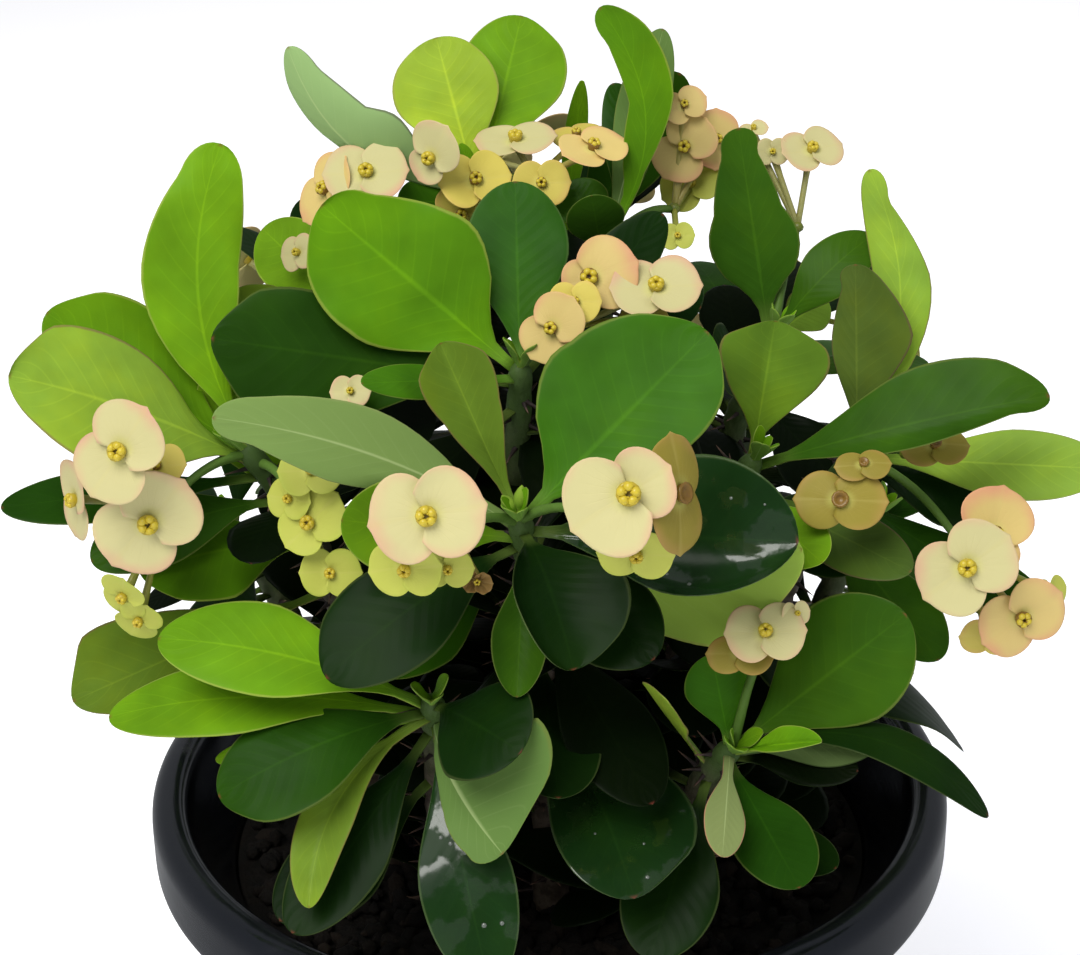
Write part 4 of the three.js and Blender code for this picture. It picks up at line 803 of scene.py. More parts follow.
def bract_material():
    """Cream that blushes towards the margin, with fine rays out of a greener heart."""
    m = Shader("bract", Specular_IOR_Level=0.25)
    out, turn, side = m.split(m.carried("at"))
    cloud = m.noise(70, 2)
    blush = m.scaled(cloud, 0.9, m.math("SUBTRACT", out, 0.45))
    colour = m.mix(m.step(blush, 0.72, 1.25), m.carried("tone", "Color"), m.carried("rim"))
    colour = m.over(colour, display(BLOOM_HEART), m.step(out, 0.4, 0.08), 0.5)
    ray = m.math("PINGPONG", m.scaled(cloud, 0.6, m.times(turn, BRACT_RAYS)), 0.5)
    ray = m.times(m.step(ray, 0.12, 0.0), m.step(out, 0.95, 0.3))
    colour = m.over(colour, display(BRACT_RAY), ray, 0.06)
    crease = m.step(m.math("ABSOLUTE", turn), 0.05, 0.0)
    colour = m.over(colour, display(BRACT_RAY), crease, 0.12)
    colour = m.over(colour, display(BRACT_BACK), m.step(side, 0.3, -0.3), 0.35)
    m.bump(m.plus(m.times(cloud, 3.0), m.times(ray, -0.08)), 0.45, 0.0007)
    return m.finish(colour, m.scaled(m.noise(300, 2), 0.15, 0.5))


def cup_material():
    m = Shader("flower_cup", Specular_IOR_Level=0.5)
    grain = m.noise(700, 3)
    m.bump(grain, 0.4, 0.0003)
    return m.finish(m.over(m.carried("tone", "Color"), display(CUP_SHADE), grain, 0.5), 0.35)


def stem_material():
    """Cracked grey bark that turns green towards the tip; thorns and stalks have their own colours."""
    m = Shader("stem", Specular_IOR_Level=0.3)
    age, _, kind = m.split(m.carried("at"))
    bark = m.noise(240, 6, rough=0.65)
    cloud = m.noise(50, 3)
    grey = m.mix(m.step(bark, 0.35, 0.65), display(BARK), display(BARK_RIDGE))
    green = m.over(display(GREEN_BARK), display(GREEN_BARK_RIDGE), cloud, 0.7)
    wood = m.mix(m.step(m.plus(age, m.times(cloud, 0.35)), 0.75, 1.15), grey, green)
    wood = m.over(wood, display(BARK_CRACK), m.step(bark, 0.62, 0.72), 0.6)
    thorn = m.mix(m.step(age, 0.4, 1.0), display(THORN_TONE), display(THORN_POINT))
    colour = m.mix(m.step(kind, 0.4, 0.6), wood, thorn)
    colour = m.mix(m.step(kind, 1.4, 1.6), colour, m.carried("tone", "Color"))
    m.bump(m.plus(bark, m.times(m.noise(90, 2), 0.8)), 0.5, 0.0012)
    return m.finish(colour, m.scaled(bark, 0.4, 0.35))


def pot_material():
    """Black plastic with hoops of fine scratches, a little dust, and more of it near the foot."""
    m = Shader("pot_plastic", Specular_IOR_Level=0.5, Specular_Tint=PLASTIC_SHINE)
    x, y, z = m.split(m.place())
    hoop = m.joined(m.times(m.math("ARCTAN2", y, x), 0.12), 0.0, m.times(z, 14.0))
    scratch = m.noise(26, 5, hoop, 0.7)
    grime = m.times(m.step(m.noise(34, 5, rough=0.7), 0.55, 0.8), 0.16)
    colour = m.mix(grime, display(PLASTIC), display(DUST))
    colour = m.over(colour, display(DUST), m.step(z, 0.03, 0.0), 0.5)
    m.bump(m.plus(scratch, m.times(m.noise(300, 3), 0.4)), 0.14, 0.0006)
    return m.finish(colour, m.plus(m.scaled(scratch, 0.22, 0.06), grime))


def soil_material():
    m = Shader("soil", Specular_IOR_Level=0.25)
    grain = m.noise(170, 8, rough=0.75)
    colour = m.mix(m.step(grain, 0.35, 0.7), display(SOIL_DARK), display(SOIL_LIGHT))
    colour = m.over(colour, display(CHIP), m.step(m.carried("tone", "Alpha"), 0.6, 1.0), 0.5)
    m.bump(grain, 0.9, 0.003)
    return m.finish(colour, m.scaled(grain, 0.3, 0.55))


# ---- leaves ----

def leaf_share(s):
    g = np.clip(s, 1e-6, 1) ** (math.log(0.5) / math.log(LEAF_BELLY))
    power = np.where(s < LEAF_BELLY, LEAF_TAPER, LEAF_BLUNTNESS)
    return np.clip(np.sin(math.pi * np.minimum(g, 1)), 0, None) ** power


class Blade:
    """A leaf's middle surface: s runs along the midrib and t across it."""

    def __init__(self, base, tip, width, faces, arch=0, sway=0, cup=0, cup_r=None, fold=0, twist=0,
                 wave=0, left=PLAIN_SIDE, right=PLAIN_SIDE, flutter=0.0, phase=0.0):
        self.base, self.width = np.asarray(base, float), width
        reach = np.asarray(tip, float) - self.base
        self.length = float(np.linalg.norm(reach))
        self.along = reach / self.length
        faces = np.asarray(faces, float)
        self.up = unit(faces - self.along * (faces @ self.along))
        self.side = np.cross(self.along, self.up)
        self.arch, self.sway = arch, sway
        self.fold, self.twist, self.wave = fold, twist, wave
        self.left, self.right = (1, *left, 1), (1, *right, 1)
        self.cups = (cup, cup if cup_r is None else cup_r)
        self.flutter, self.phase = flutter, phase

    def frame(self, s):
        """Each station's place, its normal and the way across it."""
        hump = (4 * s * (1 - s) * self.length)[:, None]
        slope = (4 * (1 - 2 * s) * self.length)[:, None]
        shift = self.up * self.arch + self.side * self.sway
        p = self.base + self.along * (self.length * s)[:, None] + shift * hump
        tangent = unit(self.along * self.length + shift * slope)
        normal = unit(self.up - tangent * (tangent @ self.up)[:, None])
        across = np.cross(tangent, normal)
        turn = (np.radians(self.twist) * (s - TWIST_AT))[:, None]
        cos, sin = np.cos(turn), np.sin(turn)
        return p, normal * cos + across * sin, across * cos - normal * sin

    def half_width(self, s, t):
        """Half the blade's width over the grid of s and t. Each side has its own share of it."""
        plain = np.maximum(LEAF_ROOT * (1 - s) + LEAF_APEX * s, self.width / 2 * leaf_share(s))
        left, right = (np.interp(s, OUTLINE_AT, shares) for shares in (self.left, self.right))
        return INSET * plain[:, None] * np.where(t[None] < 0, left[:, None], right[:, None])

    def ripples(self, s, t):
        """How far the margins wave up and down, for s and t that span the grid."""
        sign = np.where(t < 0, -1.0, 1.0)
        ease = np.minimum(1, s / FORM_EASE)
        wave = self.wave * self.width * np.sin(4 * math.pi * s + np.where(t < 0, 0, WAVE_SHIFT))
        slow = np.sin(SLOW_RUFFLE * s + self.phase + RUFFLE_SHIFT * sign)
        ruffle = slow + 0.5 * np.sin(FAST_RUFFLE * s + 2 * self.phase)
        flutter = self.flutter * self.width * ruffle * np.abs(t) ** 3 * ease * (1 - s**4)
        return wave * np.abs(t) * np.abs(t) * ease + flutter

    def surface(self, s, t):
        """Points and normals over the grid of s and t."""
        p, n, b = (v[:, None] for v in self.frame(s))
        half = self.half_width(s, t)
        ease = np.minimum(1, s / FORM_EASE)[:, None]
        u, sign = np.abs(t)[None], np.where(t < 0, -1.0, 1.0)[None]
        fold = self.fold * ease
        cup = np.where(t[None] < 0, self.cups[0], self.cups[1]) * ease
        bent = np.abs(cup) > 1e-6
        safe = np.where(bent, cup, 1.0)
        out = np.where(bent, (np.sin(fold + cup * u) - np.sin(fold)) / safe, u * np.cos(fold))
        lift = np.where(bent, (np.cos(fold) - np.cos(fold + cup * u)) / safe, u * np.sin(fold))
        rise = half * lift + self.ripples(s[:, None], t[None])
        lean = (fold + cup * u)[..., None]
        points = p + b * (sign * half * out)[..., None] + n * rise[..., None]
        return points, n * np.cos(lean) - b * (sign[..., None] * np.sin(lean))

    def points(self, start, rows, columns):
        """An even grid of points over the blade from start to its tip."""
        s, t = np.linspace(start, 1, rows), np.linspace(-1, 1, columns)
        return self.surface(s, t)[0].reshape(-1, 3)


def leaf_grid(rows, columns):
    """Places along and across a blade, closer together towards the tip and the margins."""
    across = np.linspace(-1, 1, columns)
    return 1 - (1 - np.linspace(0, 1, rows)) ** 1.7, np.sign(across) * (1 - (1 - np.abs(across)) ** 1.6)


FINE_LEAF = leaf_grid(27, 17)
FAN_LEAF = leaf_grid(18, 11)
INNER_LEAF = leaf_grid(10, 7)


def add_leaf(skin, blade, tone, grid=FINE_LEAF):
    """One leaf with a sunk midrib, a raised rib below, a thin edge and a narrow tip."""
    s, t = grid
    points, normals = blade.surface(s, t)
    half = blade.half_width(s, t)
    across = np.abs(t)[None]
    channel = np.exp(-((across * half / RIB_HALF_WIDTH) ** 2)) * (1 - 0.75 * s)[:, None]
    blister = np.sin(s[:, None] * BLISTERS - across * BLISTER_SLANT + blade.phase)
    blister = blister * across * (1 - across) * BLISTER * blade.width * np.minimum(1, half / 4)
    points = points + normals * (blister - CHANNEL_DEPTH * channel)[..., None]
    thick = LEAF_HALF_THICKNESS * np.sqrt(1 - 0.98 * across**6) + RIB_HEIGHT * channel
    thick = thick * (1 - 0.7 * s[:, None] ** 5)
    points[-1] = points[-1].mean(0) + (points[-1] - points[-1].mean(0)) * TIP_SHARE
    thick[-1] *= 0.5
    at = np.dstack(np.meshgrid(s, t, indexing="ij"))
    face, margin, wet = TONES[tone]
    light = random.uniform(0.9, 1.1)
    tint = np.append(display(face) * light * random.uniform(0.95, 1.05, 3), wet)
    plate(skin, points, normals, thick, at, tone=tint, rim=display(margin) * light)


def add_drop(skin, blade, tone):
    """A drop of water on the upper face."""
    s, t = random.uniform(0.4, 0.95), random.uniform(-0.85, 0.85)
    points, normals = blade.surface(np.array([s, s]), np.array([t, t]))
    size = random.uniform(0.35, 0.75)
    tint = np.append(display(TONES[tone][0]), 1)
    middle = points[0, 0] + normals[0, 0] * (LEAF_HALF_THICKNESS - DROP_SINK)
    ball(skin, middle, normals[0, 0], (size, 0.5 * size), 7, 4, 1, dome=True, tone=tint)


# ---- stems ----

class Stem:
    """A stem's middle line from its foot in the soil to its tip. Places on it are drops from the tip."""

    def __init__(self, foot, tip, leaves=(), fan=()):
        self.foot = np.array([*foot, SOIL_TOP - ROOT_DEPTH], float)
        self.tip = np.array(tip, float)
        self.bend = np.array([*foot, SOIL_TOP + STEM_BEND_SHARE * (tip[2] - SOIL_TOP)], float)
        self.leaves, self.fan = leaves, fan
        self.line = bowed(np.linspace(0, 1, 400)[:, None], self.foot, self.bend, self.tip)
        self.gone = np.concatenate([[0], np.cumsum(np.linalg.norm(np.diff(self.line, axis=0), axis=1))])
        self.length = self.gone[-1]

    def at(self, drop):
        return np.array([np.interp(self.length - drop, self.gone, self.line[:, i]) for i in range(3)])

    def along(self, drop):
        return unit(self.at(drop - 1) - self.at(drop + 1))

    def radius(self, drop):
        return STEM_TIP_RADIUS + STEM_SWELL * np.minimum(1, drop / self.length)

    def add_wood(self, skin):
        drops = np.linspace(self.length, 0, max(24, int(self.length / WOOD_STEP)))
        points = np.array([self.at(d) for d in drops])
        scars = 1 + 0.05 * np.sin(drops * 1.15) + 0.04 * np.sin(drops * 0.47)
        radii = self.radius(drops) * scars
        radii[-2:] *= (0.85, 0.4)
        age = np.stack([1 - drops / self.length, drops * 0, drops * 0], 1)
        tube(skin, points, radii, 14, lumps=0.035, at=age)

    def add_thorns(self, skin):
        """Pairs of thorns in a spiral, each on a swollen foot, on the wood clear of the soil."""
        far = np.array([0, 0.12, 0.5, 1.0])
        mark = np.stack([far, far * 0, far * 0 + 1], 1)
        for i in range(int((self.length - THORN_START - ROOT_DEPTH) / THORN_STEP)):
            drop = THORN_START + THORN_STEP * i
            along = self.along(drop)
            x, y = axes_about(along)
            for spread in (-THORN_SPREAD, THORN_SPREAD):
                angle = math.radians(GOLDEN_ANGLE * i + spread + random.uniform(-9, 9))
                out = x * math.cos(angle) + y * math.sin(angle)
                aside = np.cross(along, out) * spread / 60
                way = unit(out + along * random.uniform(-0.15, 0.45) + aside)
                root = self.at(drop) + out * (self.radius(drop) - THORN_SINK)
                length = THORN_LENGTH * random.uniform(0.65, 1.12)
                bow = np.cross(way, along) * random.uniform(-0.5, 0.5)
                points = root + way * (far * length)[:, None] + bow * (far**2)[:, None]
                tube(skin, points, THORN_RADII, 5, at=mark)


def leaf_root(stem, drop, towards):
    return stem.at(drop) + unit(towards) * LEAF_ROOT_SHARE * stem.radius(drop)


def placed_blade(stem, drop, tip, width, faces, _, form=()):
    """The blade of one of the plan's leaf rows; its tone isn't needed here."""
    base = leaf_root(stem, drop, np.array(tip, float) - stem.at(drop))
    phase = random.uniform(*ANY_PHASE)
    return Blade(base, tip, width, faces, flutter=FLUTTER, phase=phase, **dict(form))


def fan_blade(stem, order, heading, rise, long):
    drop = FAN_FIRST_DROP + FAN_DROP_STEP * order
    tip = stem.at(drop) + heading_vector(heading, rise) * long
    base = leaf_root(stem, drop, heading_vector(heading, rise))
    faces = UP + heading_vector(heading, 0) * FAN_LEAN
    width = FAN_WIDTH_SHARE * float(np.linalg.norm(tip - base))
    phase = random.uniform(*ANY_PHASE)
    return Blade(base, tip, width, faces, arch=FAN_ARCH, flutter=FAN_FLUTTER, phase=phase)


def inner_blade(stem, turn, drop):
    """An old leaf low on the stem, in the shade, turned more or less towards the plant's middle."""
    inward = math.degrees(math.atan2(-stem.foot[1], -stem.foot[0]))
    heading = inward + turn % INNER_SPREAD - INNER_SPREAD / 2
    rise, long = random.uniform(-12, 40), random.uniform(34, 54)
    base = leaf_root(stem, drop, heading_vector(heading, rise))
    tip = base + heading_vector(heading, rise) * long
    tip[2] = max(tip[2], SOIL_TOP + INNER_HEIGHT)
    faces = UP + heading_vector(heading, 0) * random.uniform(-0.2, 0.9)
    phase = random.uniform(*ANY_PHASE)
    return Blade(base, tip, INNER_WIDTH_SHARE * long, faces, arch=FAN_ARCH, phase=phase)


def outer_leaf_points():
    """Points all over the leaves that the plan places, for the inner leaves to keep clear of."""
    blades = [placed_blade(stem, *row) for stem in GROWN.values() for row in stem.leaves]
    points = np.concatenate([blade.points(0.25, 16, 9) for blade in blades])
    tree = KDTree(len(points))
    for k, point in enumerate(points):
        tree.insert(point, k)
    tree.balance()
    return tree


def is_clear(blade, taken):
    return all(taken.find(point)[2] > INNER_CLEARANCE for point in blade.points(0.3, 8, 5))


def add_inner_leaves(skin, stem, taken):
    """Each inner leaf takes the first place that is clear of the placed leaves, or is left out."""
    lowest = stem.length - ROOT_DEPTH - INNER_LAST_HEIGHT
    for order, drop in enumerate(np.arange(INNER_FIRST_DROP, lowest, INNER_DROP_STEP)):
        for place in range(INNER_PLACES):
            blade = inner_blade(stem, GOLDEN_ANGLE * order + INNER_TURN * place, drop)
            if is_clear(blade, taken):
                # The inner leaves take the near-black tone: painted shade over their own dark green.
                add_leaf(skin, blade, "shade_dark", INNER_LEAF)
                break


def add_shoot(skin, stem):
    """The youngest leaves, still small and upright round the stem's tip."""
    base = stem.at(0.8)
    for k in range(4):
        out = heading_vector(90 * k + random.uniform(0, 80), 0)
        way = unit(stem.along(1) + out * 0.45)
        length = random.uniform(7, 13)
        blade = Blade(base, base + way * length, 0.42 * length, UP - out, cup=0.5)
        add_leaf(skin, blade, "bright", FAN_LEAF)


def add_bud(skin, stem, way, reach):
    """A pointed flower bud on a short stalk beside the stem's tip."""
    far, radii = np.array(BUD_PROFILE).T
    points = stem.at(0.5) + unit(way) * (far * reach)[:, None]
    tint = np.append(display(BUD_TONE), 0)
    tube(skin, points, radii, 9, at=(0.5, 0.5, 1), tone=tint, rim=tint[:3])


# The back leaves' tones; the near-black and darkest ones are partly painted shade.
FAN_TONES = ("dark", "shaded_deep", "shade_dark", "moss", "shaded_deep", "shaded_deep", "mid", "shaded_deep")


def make_stem(name):
    stem, leaves, wood = GROWN[name], Skin(), Skin()
    for row in stem.leaves:
        blade, tone = placed_blade(stem, *row), row[4]
        add_leaf(leaves, blade, tone)
        for _ in range(int(WETTEST * TONES[tone][2])):
            add_drop(leaves, blade, tone)
    for order, row in enumerate(stem.fan):
        tone = FAN_TONES[(order * 3 + len(name)) % len(FAN_TONES)]
        add_leaf(leaves, fan_blade(stem, order, *row), tone, FAN_LEAF)
    add_shoot(leaves, stem)
    add_inner_leaves(leaves, stem, OUTER_LEAVES)
    if name == "front":
        add_bud(leaves, stem, (-6, 0, 9), 7.5)
        add_bud(leaves, stem, (1, -1, 10), 9.5)
    stem.add_wood(wood)
    stem.add_thorns(wood)
    for head in HEADS.values():
        if head["stem"] == name:
            add_stalk(wood, stem, head)
    node = f"leafy_stem_{name}"
    leaves.piece(f"leaves_{name}", [LEAF, DEW], [node], "foliage")
    wood.piece(f"stem_{name}", [STEM_WOOD], [node], "foliage")


# ---- flower heads ----

def stalk_line(stem, head):
    base, end = stem.at(head["drop"]), np.array(head["fork"], float)
    reach = float(np.linalg.norm(end - base))
    middle = (base + end) / 2 + UP * STALK_BOW * reach
    return base, middle, end, unit(end - middle)


def add_stalk(skin, stem, head):
    base, middle, end, way = stalk_line(stem, head)
    end = end - way * (KNUCKLE_REACH + GAP)
    k = np.linspace(0, 1, 12)[:, None]
    points = bowed(k, base, 2 * middle - (base + end) / 2, end)
    radii = np.interp(k[:, 0], (0, 0.5, 1), STALK_RADII)
    tint = np.append(display(STALK_TONE), 1)
    tube(skin, points, radii, 8, lumps=0.03, at=(0, 0, 2.0), tone=tint)


BRACT_OUT = np.array([0.09, 0.2, 0.34, 0.48, 0.62, 0.76, 0.88, 0.96, 1.0])
BRACT_TURN = np.linspace(-1, 1, 31)


def bract_height(span, kind, around, aside):
    """How far a bract rises from the bloom's plane: a dish with a crease, ripples and soft bends."""
    out = BRACT_OUT[:, None]
    ripple = 0.012 * span * np.sin(3 * around + random.uniform(0, 6)) * out**3
    bend = random.uniform(-0.01, 0.015) * span * np.cos(around) * out**2
    if kind == "ochre":
        bend = bend - WILT * span * out**2
    bend = bend + random.uniform(-0.03, 0.02) * span * (np.sin(around) * out) ** 2
    crease = -0.012 * span * np.exp(-((aside / (0.06 * span)) ** 2)) * out
    return -BRACT_DISH_SHARE * span * (1 - out**2) + ripple + bend + crease


def add_bract(skin, middle, axes, side, size, span, kind, light):
    """One of a bloom's two bracts: side is 1 or -1, and axes are the bloom's own three."""
    u, w, normal = axes
    out, around = BRACT_OUT[:, None], np.radians(BRACT_REACH) * BRACT_TURN[None]
    long = size * BRACT_LENGTH_SHARE * random.uniform(0.96, 1.04)
    point = 0.03 * size * np.exp(-((BRACT_TURN[None] / 0.045) ** 2)) * (out > 0.9)
    a = (size * BRACT_OFFSET_SHARE + long * np.cos(around)) * out + point
    b = size * BRACT_WIDTH_SHARE * np.sin(around) * out
    z = bract_height(span, kind, around, b) + side * BRACT_STAGGER * np.clip(out * 3, 0, 1)
    if kind == "dry":
        z = z + 0.22 * span * out**2 + 0.05 * span * np.sin(7 * around) * out
    shrunk = SHRUNK.get(kind, (1, 1))
    a, b = a * shrunk[0], b * shrunk[1]
    points = middle + u * (side * a)[..., None] + w * (side * b)[..., None] + normal * z[..., None]
    down, over = np.gradient(points, axis=0), np.gradient(points, axis=1)
    normals = unit(np.cross(over, down) + normal * 1e-6)
    normals = normals * np.sign(normals @ normal + 1e-9)[..., None]
    thick = np.broadcast_to(BRACT_HALF_THICKNESS * np.sqrt(1 - 0.97 * out**8), a.shape)
    at = np.dstack(np.broadcast_arrays(out, BRACT_TURN[None]))
    tone, rim = (display(colour) * light for colour in BLOOM_TONES[kind])
    plate(skin, points, normals, thick, at, tone=np.append(tone, 1), rim=rim)


def add_bloom(skin, fork, centre, faces, turn, span, kind, lesser=1.0):
    """Two broad bracts, one lapping over the other, round a small cup on the end of its branch."""
    middle, normal = np.array(centre, float), unit(faces)
    x = unit(np.cross(UP, normal))
    y = np.cross(normal, x)
    angle = math.radians(turn)
    u = x * math.cos(angle) + y * math.sin(angle)
    w = np.cross(normal, u)
    light = random.uniform(0.93, 1.05)
    for side, size in ((1, span), (-1, span * lesser)):
        add_bract(skin, middle, (u, w, normal), side, size, span, kind, light)
    add_cup(skin, middle, normal, (u, w), span, kind)
    k = np.linspace(0, 1, 7)[:, None]
    points = fork + (middle - normal * CUP_DEPTH - fork) * k
    tint = display(STALK_TONE) * 0.5 + display(BLOOM_TONES[kind][0]) * light * 0.5
    radii = np.interp(k[:, 0], (0, 0.7, 1), (BRANCH_RADIUS, BRANCH_RADIUS, CUP_NECK_RADIUS))
    tube(skin, points, radii, 7, 1, tone=np.append(tint, 1))


def around_cup(plane, count, first):
    """Directions round a bloom's middle, in its own plane."""
    for k in range(count):
        angle = math.radians(360 / count * k + first)
        yield plane[0] * math.cos(angle) + plane[1] * math.sin(angle)


def add_cup(skin, middle, normal, plane, span, kind):
    """The cup in a bloom's middle with five glands round three styles. An old bloom has lost them."""
    size, old = CUP_SHARE * span, kind == "ochre"
    tint = display(CUP_TONE if kind in ("cream", "young") else OLD_CUP_TONE)
    tall = OLD_CUP_HEIGHT if old else CUP_HEIGHT
    radii, heights = np.array([
        (0.5, -CUP_DEPTH), (0.85, -0.8), (1.0, 0.3),
        (1.12, tall), (0.8, tall + 0.15), (0.55, tall - 0.9),
    ]).T
    middles = (middle + normal * heights[:, None])[:, None]
    rings = middles + circle_about(unit(normal), 12) * (radii * size)[:, None, None]
    add_rings(skin, rings, 1, tone=np.append(tint, 1))
    if old:
        return
    gland, style = np.append(display(GLAND_TONE), 1), np.append(tint * 1.1, 1)
    for out in around_cup(plane, 5, 20):
        place = middle + out * size * 0.66 + normal * (tall + 0.05)
        ball(skin, place, out + normal * 0.4, (0.5 * size, 0.42 * size), 8, 6, 1, tone=gland)
    for out in around_cup(plane, 3, 50):
        place = middle + out * size * 0.3 + normal * (tall + 0.2)
        ball(skin, place, normal, (0.17 * size, 0.35 * size), 5, 4, 1, tone=style)


def make_head(name, head):
    skin = Skin()
    fork = np.array(head["fork"], float)
    for row in head["blooms"]:
        add_bloom(skin, fork, *row)
    way = stalk_line(GROWN[head["stem"]], head)[3]
    tint = np.append(display(STALK_TONE), 1)
    ball(skin, fork, way, (KNUCKLE_RADIUS, KNUCKLE_REACH + 0.2), 8, 6, 1, tone=tint)
    skin.piece(f"blooms_{name}", [BRACT, CUP], [f"flowers_{name}"], "bracts")


# ---- pot and soil ----

def rounded(profile, times):
    """The profile with its corners cut times over, by a quarter of each side and at most CORNER_CUT."""
    line = np.array(profile, float)
    for _ in range(times):
        a, b = line[:-1], line[1:]
        cut = np.empty((2 * len(a), 2))
        length = np.maximum(np.linalg.norm(b - a, axis=1), 1e-6)
        reach = np.minimum(0.25, CORNER_CUT / length)[:, None]
        cut[0::2], cut[1::2] = a + (b - a) * reach, b - (b - a) * reach
        line = np.vstack([line[:1], cut[1:-1], line[-1:]])
    return line


def hoops(radii, heights, sides):
    """Level rings of points round the pot's own axis."""
    angle = round_angles(sides)
    radii, heights = np.array(radii)[:, None], np.array(heights)[:, None]
    return np.stack([radii * np.cos(angle), radii * np.sin(angle), heights + 0 * angle], -1)


def make_pot():
    """The moulded shell with its rolled rim, from the middle of its underside round to its floor."""
    mouth, skirt = POT_HEIGHT - LIP_ROUND, POT_HEIGHT - RIM_DEPTH
    line = rounded([
        (0, 0), (FOOT_RADIUS, 0), (FOOT_RADIUS + FOOT_ROUND, 2), (NECK_RADIUS, NECK_HEIGHT),
        (MOUTH_RADIUS - 1, mouth - 2), (MOUTH_RADIUS + 2, mouth + RIM_HOLLOW),
        (RIM_RADIUS - WALL, mouth + RIM_HOLLOW), (RIM_RADIUS - WALL, skirt),
        (RIM_RADIUS, skirt), (RIM_RADIUS, mouth + 2), (RIM_RADIUS - 2, POT_HEIGHT - 0.8),
        (RIM_RADIUS - LIP_ROUND, POT_HEIGHT), (MOUTH_RADIUS + 2, POT_HEIGHT - 1), (MOUTH_RADIUS, mouth),
        (NECK_RADIUS - WALL, NECK_HEIGHT + 1), (FLOOR_RADIUS, WALL), (0, WALL),
    ], 3)[1:-1]
    skin = Skin()
    add_rings(skin, hoops(line[:, 0], line[:, 1], POT_SIDES))
    skin.piece("pot_shell", [pot_material()], ["pot"], "pot")


def make_soil():
    """Gritty potting mix: an uneven top with clods and bark chips over it, and its body below."""
    inner_edge = SOIL_TOP - SOIL_EDGE_DROP
    widening = (NECK_RADIUS - WALL - FLOOR_RADIUS) / (NECK_HEIGHT + 1 - WALL)
    edge_radius = FLOOR_RADIUS + widening * (inner_edge - WALL) - 2 * GAP
    share = np.linspace(0.004, 1, SOIL_RINGS)
    surface = hoops(share * edge_radius, share * 0, SOIL_SIDES)
    x, y = surface[..., 0], surface[..., 1]
    lumps = sum(
        size * np.sin(x / wide + shift) * np.cos(y / wide + 2.3 * shift)
        for size, wide, shift in SOIL_LUMPS
    )
    share = share[:, None]
    top = SOIL_TOP - SOIL_DIP - (SOIL_EDGE_DROP - SOIL_DIP) * share**3 + lumps * (1 - share**6)
    surface[..., 2] = top + random.uniform(-0.35, 0.35, top.shape) * (share < 0.98)
    walls = hoops([edge_radius, FLOOR_RADIUS - 2 * GAP], [inner_edge - 8, WALL + GAP], SOIL_SIDES)
    skin = Skin()
    add_rings(skin, np.concatenate([surface, walls]), order=-1)
    for _ in range(CHIPS):
        way, out = random.uniform(0, 2 * math.pi), math.sqrt(random.uniform(0, 0.93)) * edge_radius
        size = random.uniform(0.9, 3.4)
        middle = (out * math.cos(way), out * math.sin(way), SOIL_TOP - 1.4 + 0.2 * size)
        axis = unit(random.normal(size=3) * (1, 1, 0.5))
        long = size * random.uniform(0.8, 2.2)
        ball(skin, middle, axis, (size, long), 6, 4, tone=(0, 0, 0, random.uniform()))
    skin.piece("soil_mix", [soil_material()], ["soil"], "soil")


# ---- camera, floor and light ----

def make_camera():
    pitch, roll = math.radians(CAMERA_PITCH), math.radians(CAMERA_ROLL)
    forward = Vector((0, math.cos(pitch), -math.sin(pitch)))
    level = Vector((1, 0, 0))
    down = forward.cross(level)
    right = level * math.cos(roll) + down * math.sin(roll)
    turned_down = down * math.cos(roll) - level * math.sin(roll)
    data = bpy.data.cameras.new("camera")
    data.sensor_fit, data.sensor_width = "HORIZONTAL", SENSOR
    data.lens = SENSOR * FOCAL_SHARE
    camera = bpy.data.objects.new("camera", data)
    turn = Matrix((right, -turned_down, -forward)).transposed().to_4x4()
    camera.matrix_world = Matrix.Translation(Vector(CAMERA_PLACE) * MM) @ turn
    bpy.context.scene.collection.objects.link(camera)
    bpy.context.scene.camera = camera


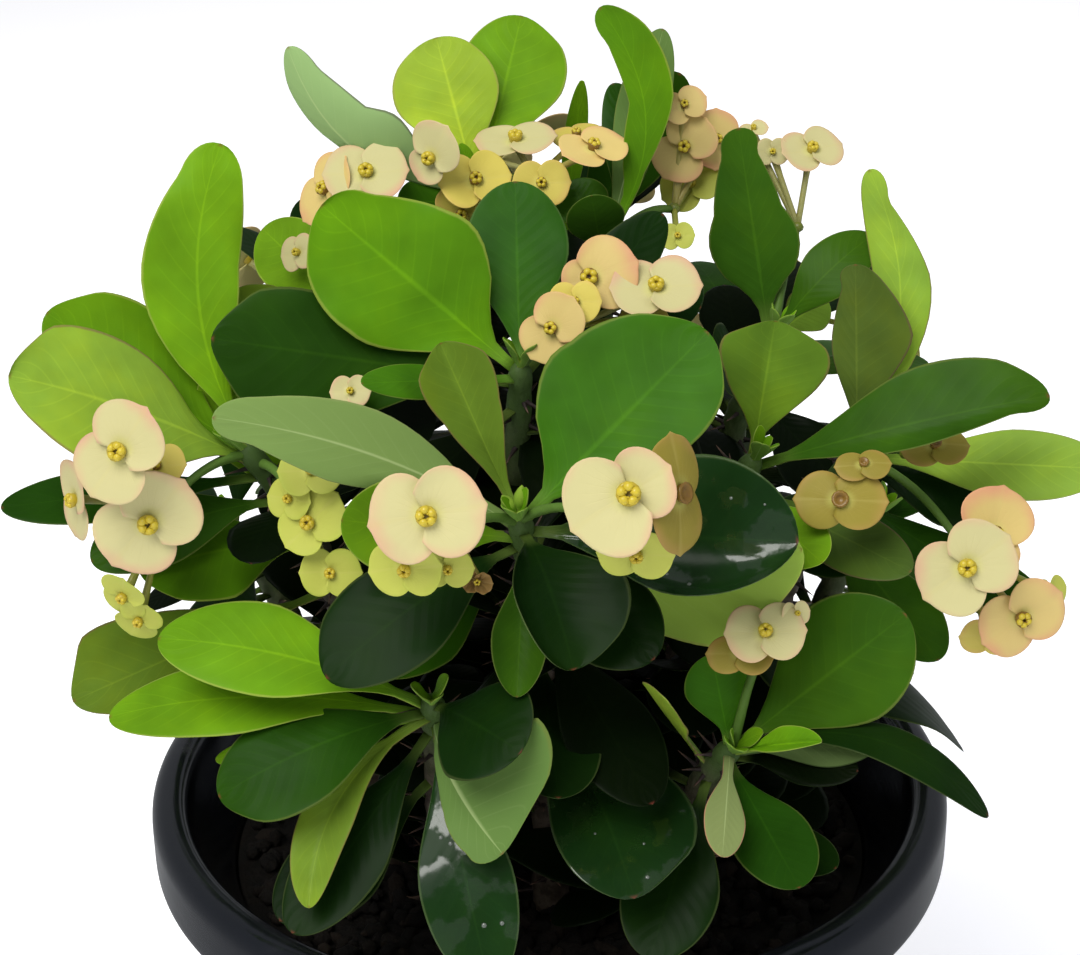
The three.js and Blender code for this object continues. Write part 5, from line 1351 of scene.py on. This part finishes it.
def make_lamp(name, place, power, colour):
    """A round lamp that looks at the plant. Only the key lamp shows in reflections."""
    data = bpy.data.lights.new(name, "AREA")
    data.shape, data.size, data.energy, data.color = "DISK", LAMP_SIZE, power, colour
    lamp = bpy.data.objects.new(name, data)
    lamp.visible_glossy = name == "key"
    lamp.location = place
    lamp.rotation_euler = (Vector(LAMP_TARGET) - Vector(place)).to_track_quat("-Z", "Y").to_euler()
    bpy.context.scene.collection.objects.link(lamp)


def make_floor():
    """White paper, lit a little from below like a light table, and greyer far off to the right, where a
    shadow is painted.
    """
    corners = [(x * FLOOR_REACH, y * FLOOR_REACH, 0) for x, y in ((-1, -1), (1, -1), (1, 1), (-1, 1))]
    mesh = bpy.data.meshes.new("floor")
    mesh.from_pydata(corners, [], [(0, 1, 2, 3)])
    floor = bpy.data.objects.new("floor", mesh)
    m = Shader("floor_paper", Specular_IOR_Level=0.1, Emission_Strength=FLOOR_GLOW)
    x, y, _ = m.split(m.place())
    # A painted shadow: the paper turns greyer far off to the right.
    far_right = m.step(m.scaled(y, -0.3, x), -0.1, 0.5)
    shade = m.mix(m.noise(3, 2), display(PAPER), display(WARM_PAPER))
    shade = m.mix(far_right, shade, display(SHADED_PAPER))
    m.put(shade, m.surface.inputs["Emission Color"])
    mesh.materials.append(m.finish(shade, 0.9))
    floor.visible_glossy = False
    bpy.context.scene.collection.objects.link(floor)


def make_light():
    world = bpy.data.worlds.new("studio")
    world.use_nodes = True
    background = world.node_tree.nodes["Background"].inputs
    background[0].default_value, background[1].default_value = (*SKY, 1), SKY_STRENGTH
    bpy.context.scene.world = world
    for name, lamp in LAMPS.items():
        make_lamp(name, *lamp)
    bpy.context.scene.view_settings.view_transform = "Standard"


# ---- the whole scene ----

LEAF, DEW, STEM_WOOD = leaf_material(), dew_material(), stem_material()
BRACT, CUP = bract_material(), cup_material()
GROWN = {name: Stem(**spec) for name, spec in STEMS.items()}
OUTER_LEAVES = outer_leaf_points()

make_camera()
make_floor()
make_light()
make_pot()
make_soil()
for stem_name in STEMS:
    make_stem(stem_name)
for head_name, head_spec in HEADS.items():
    make_head(head_name, head_spec)
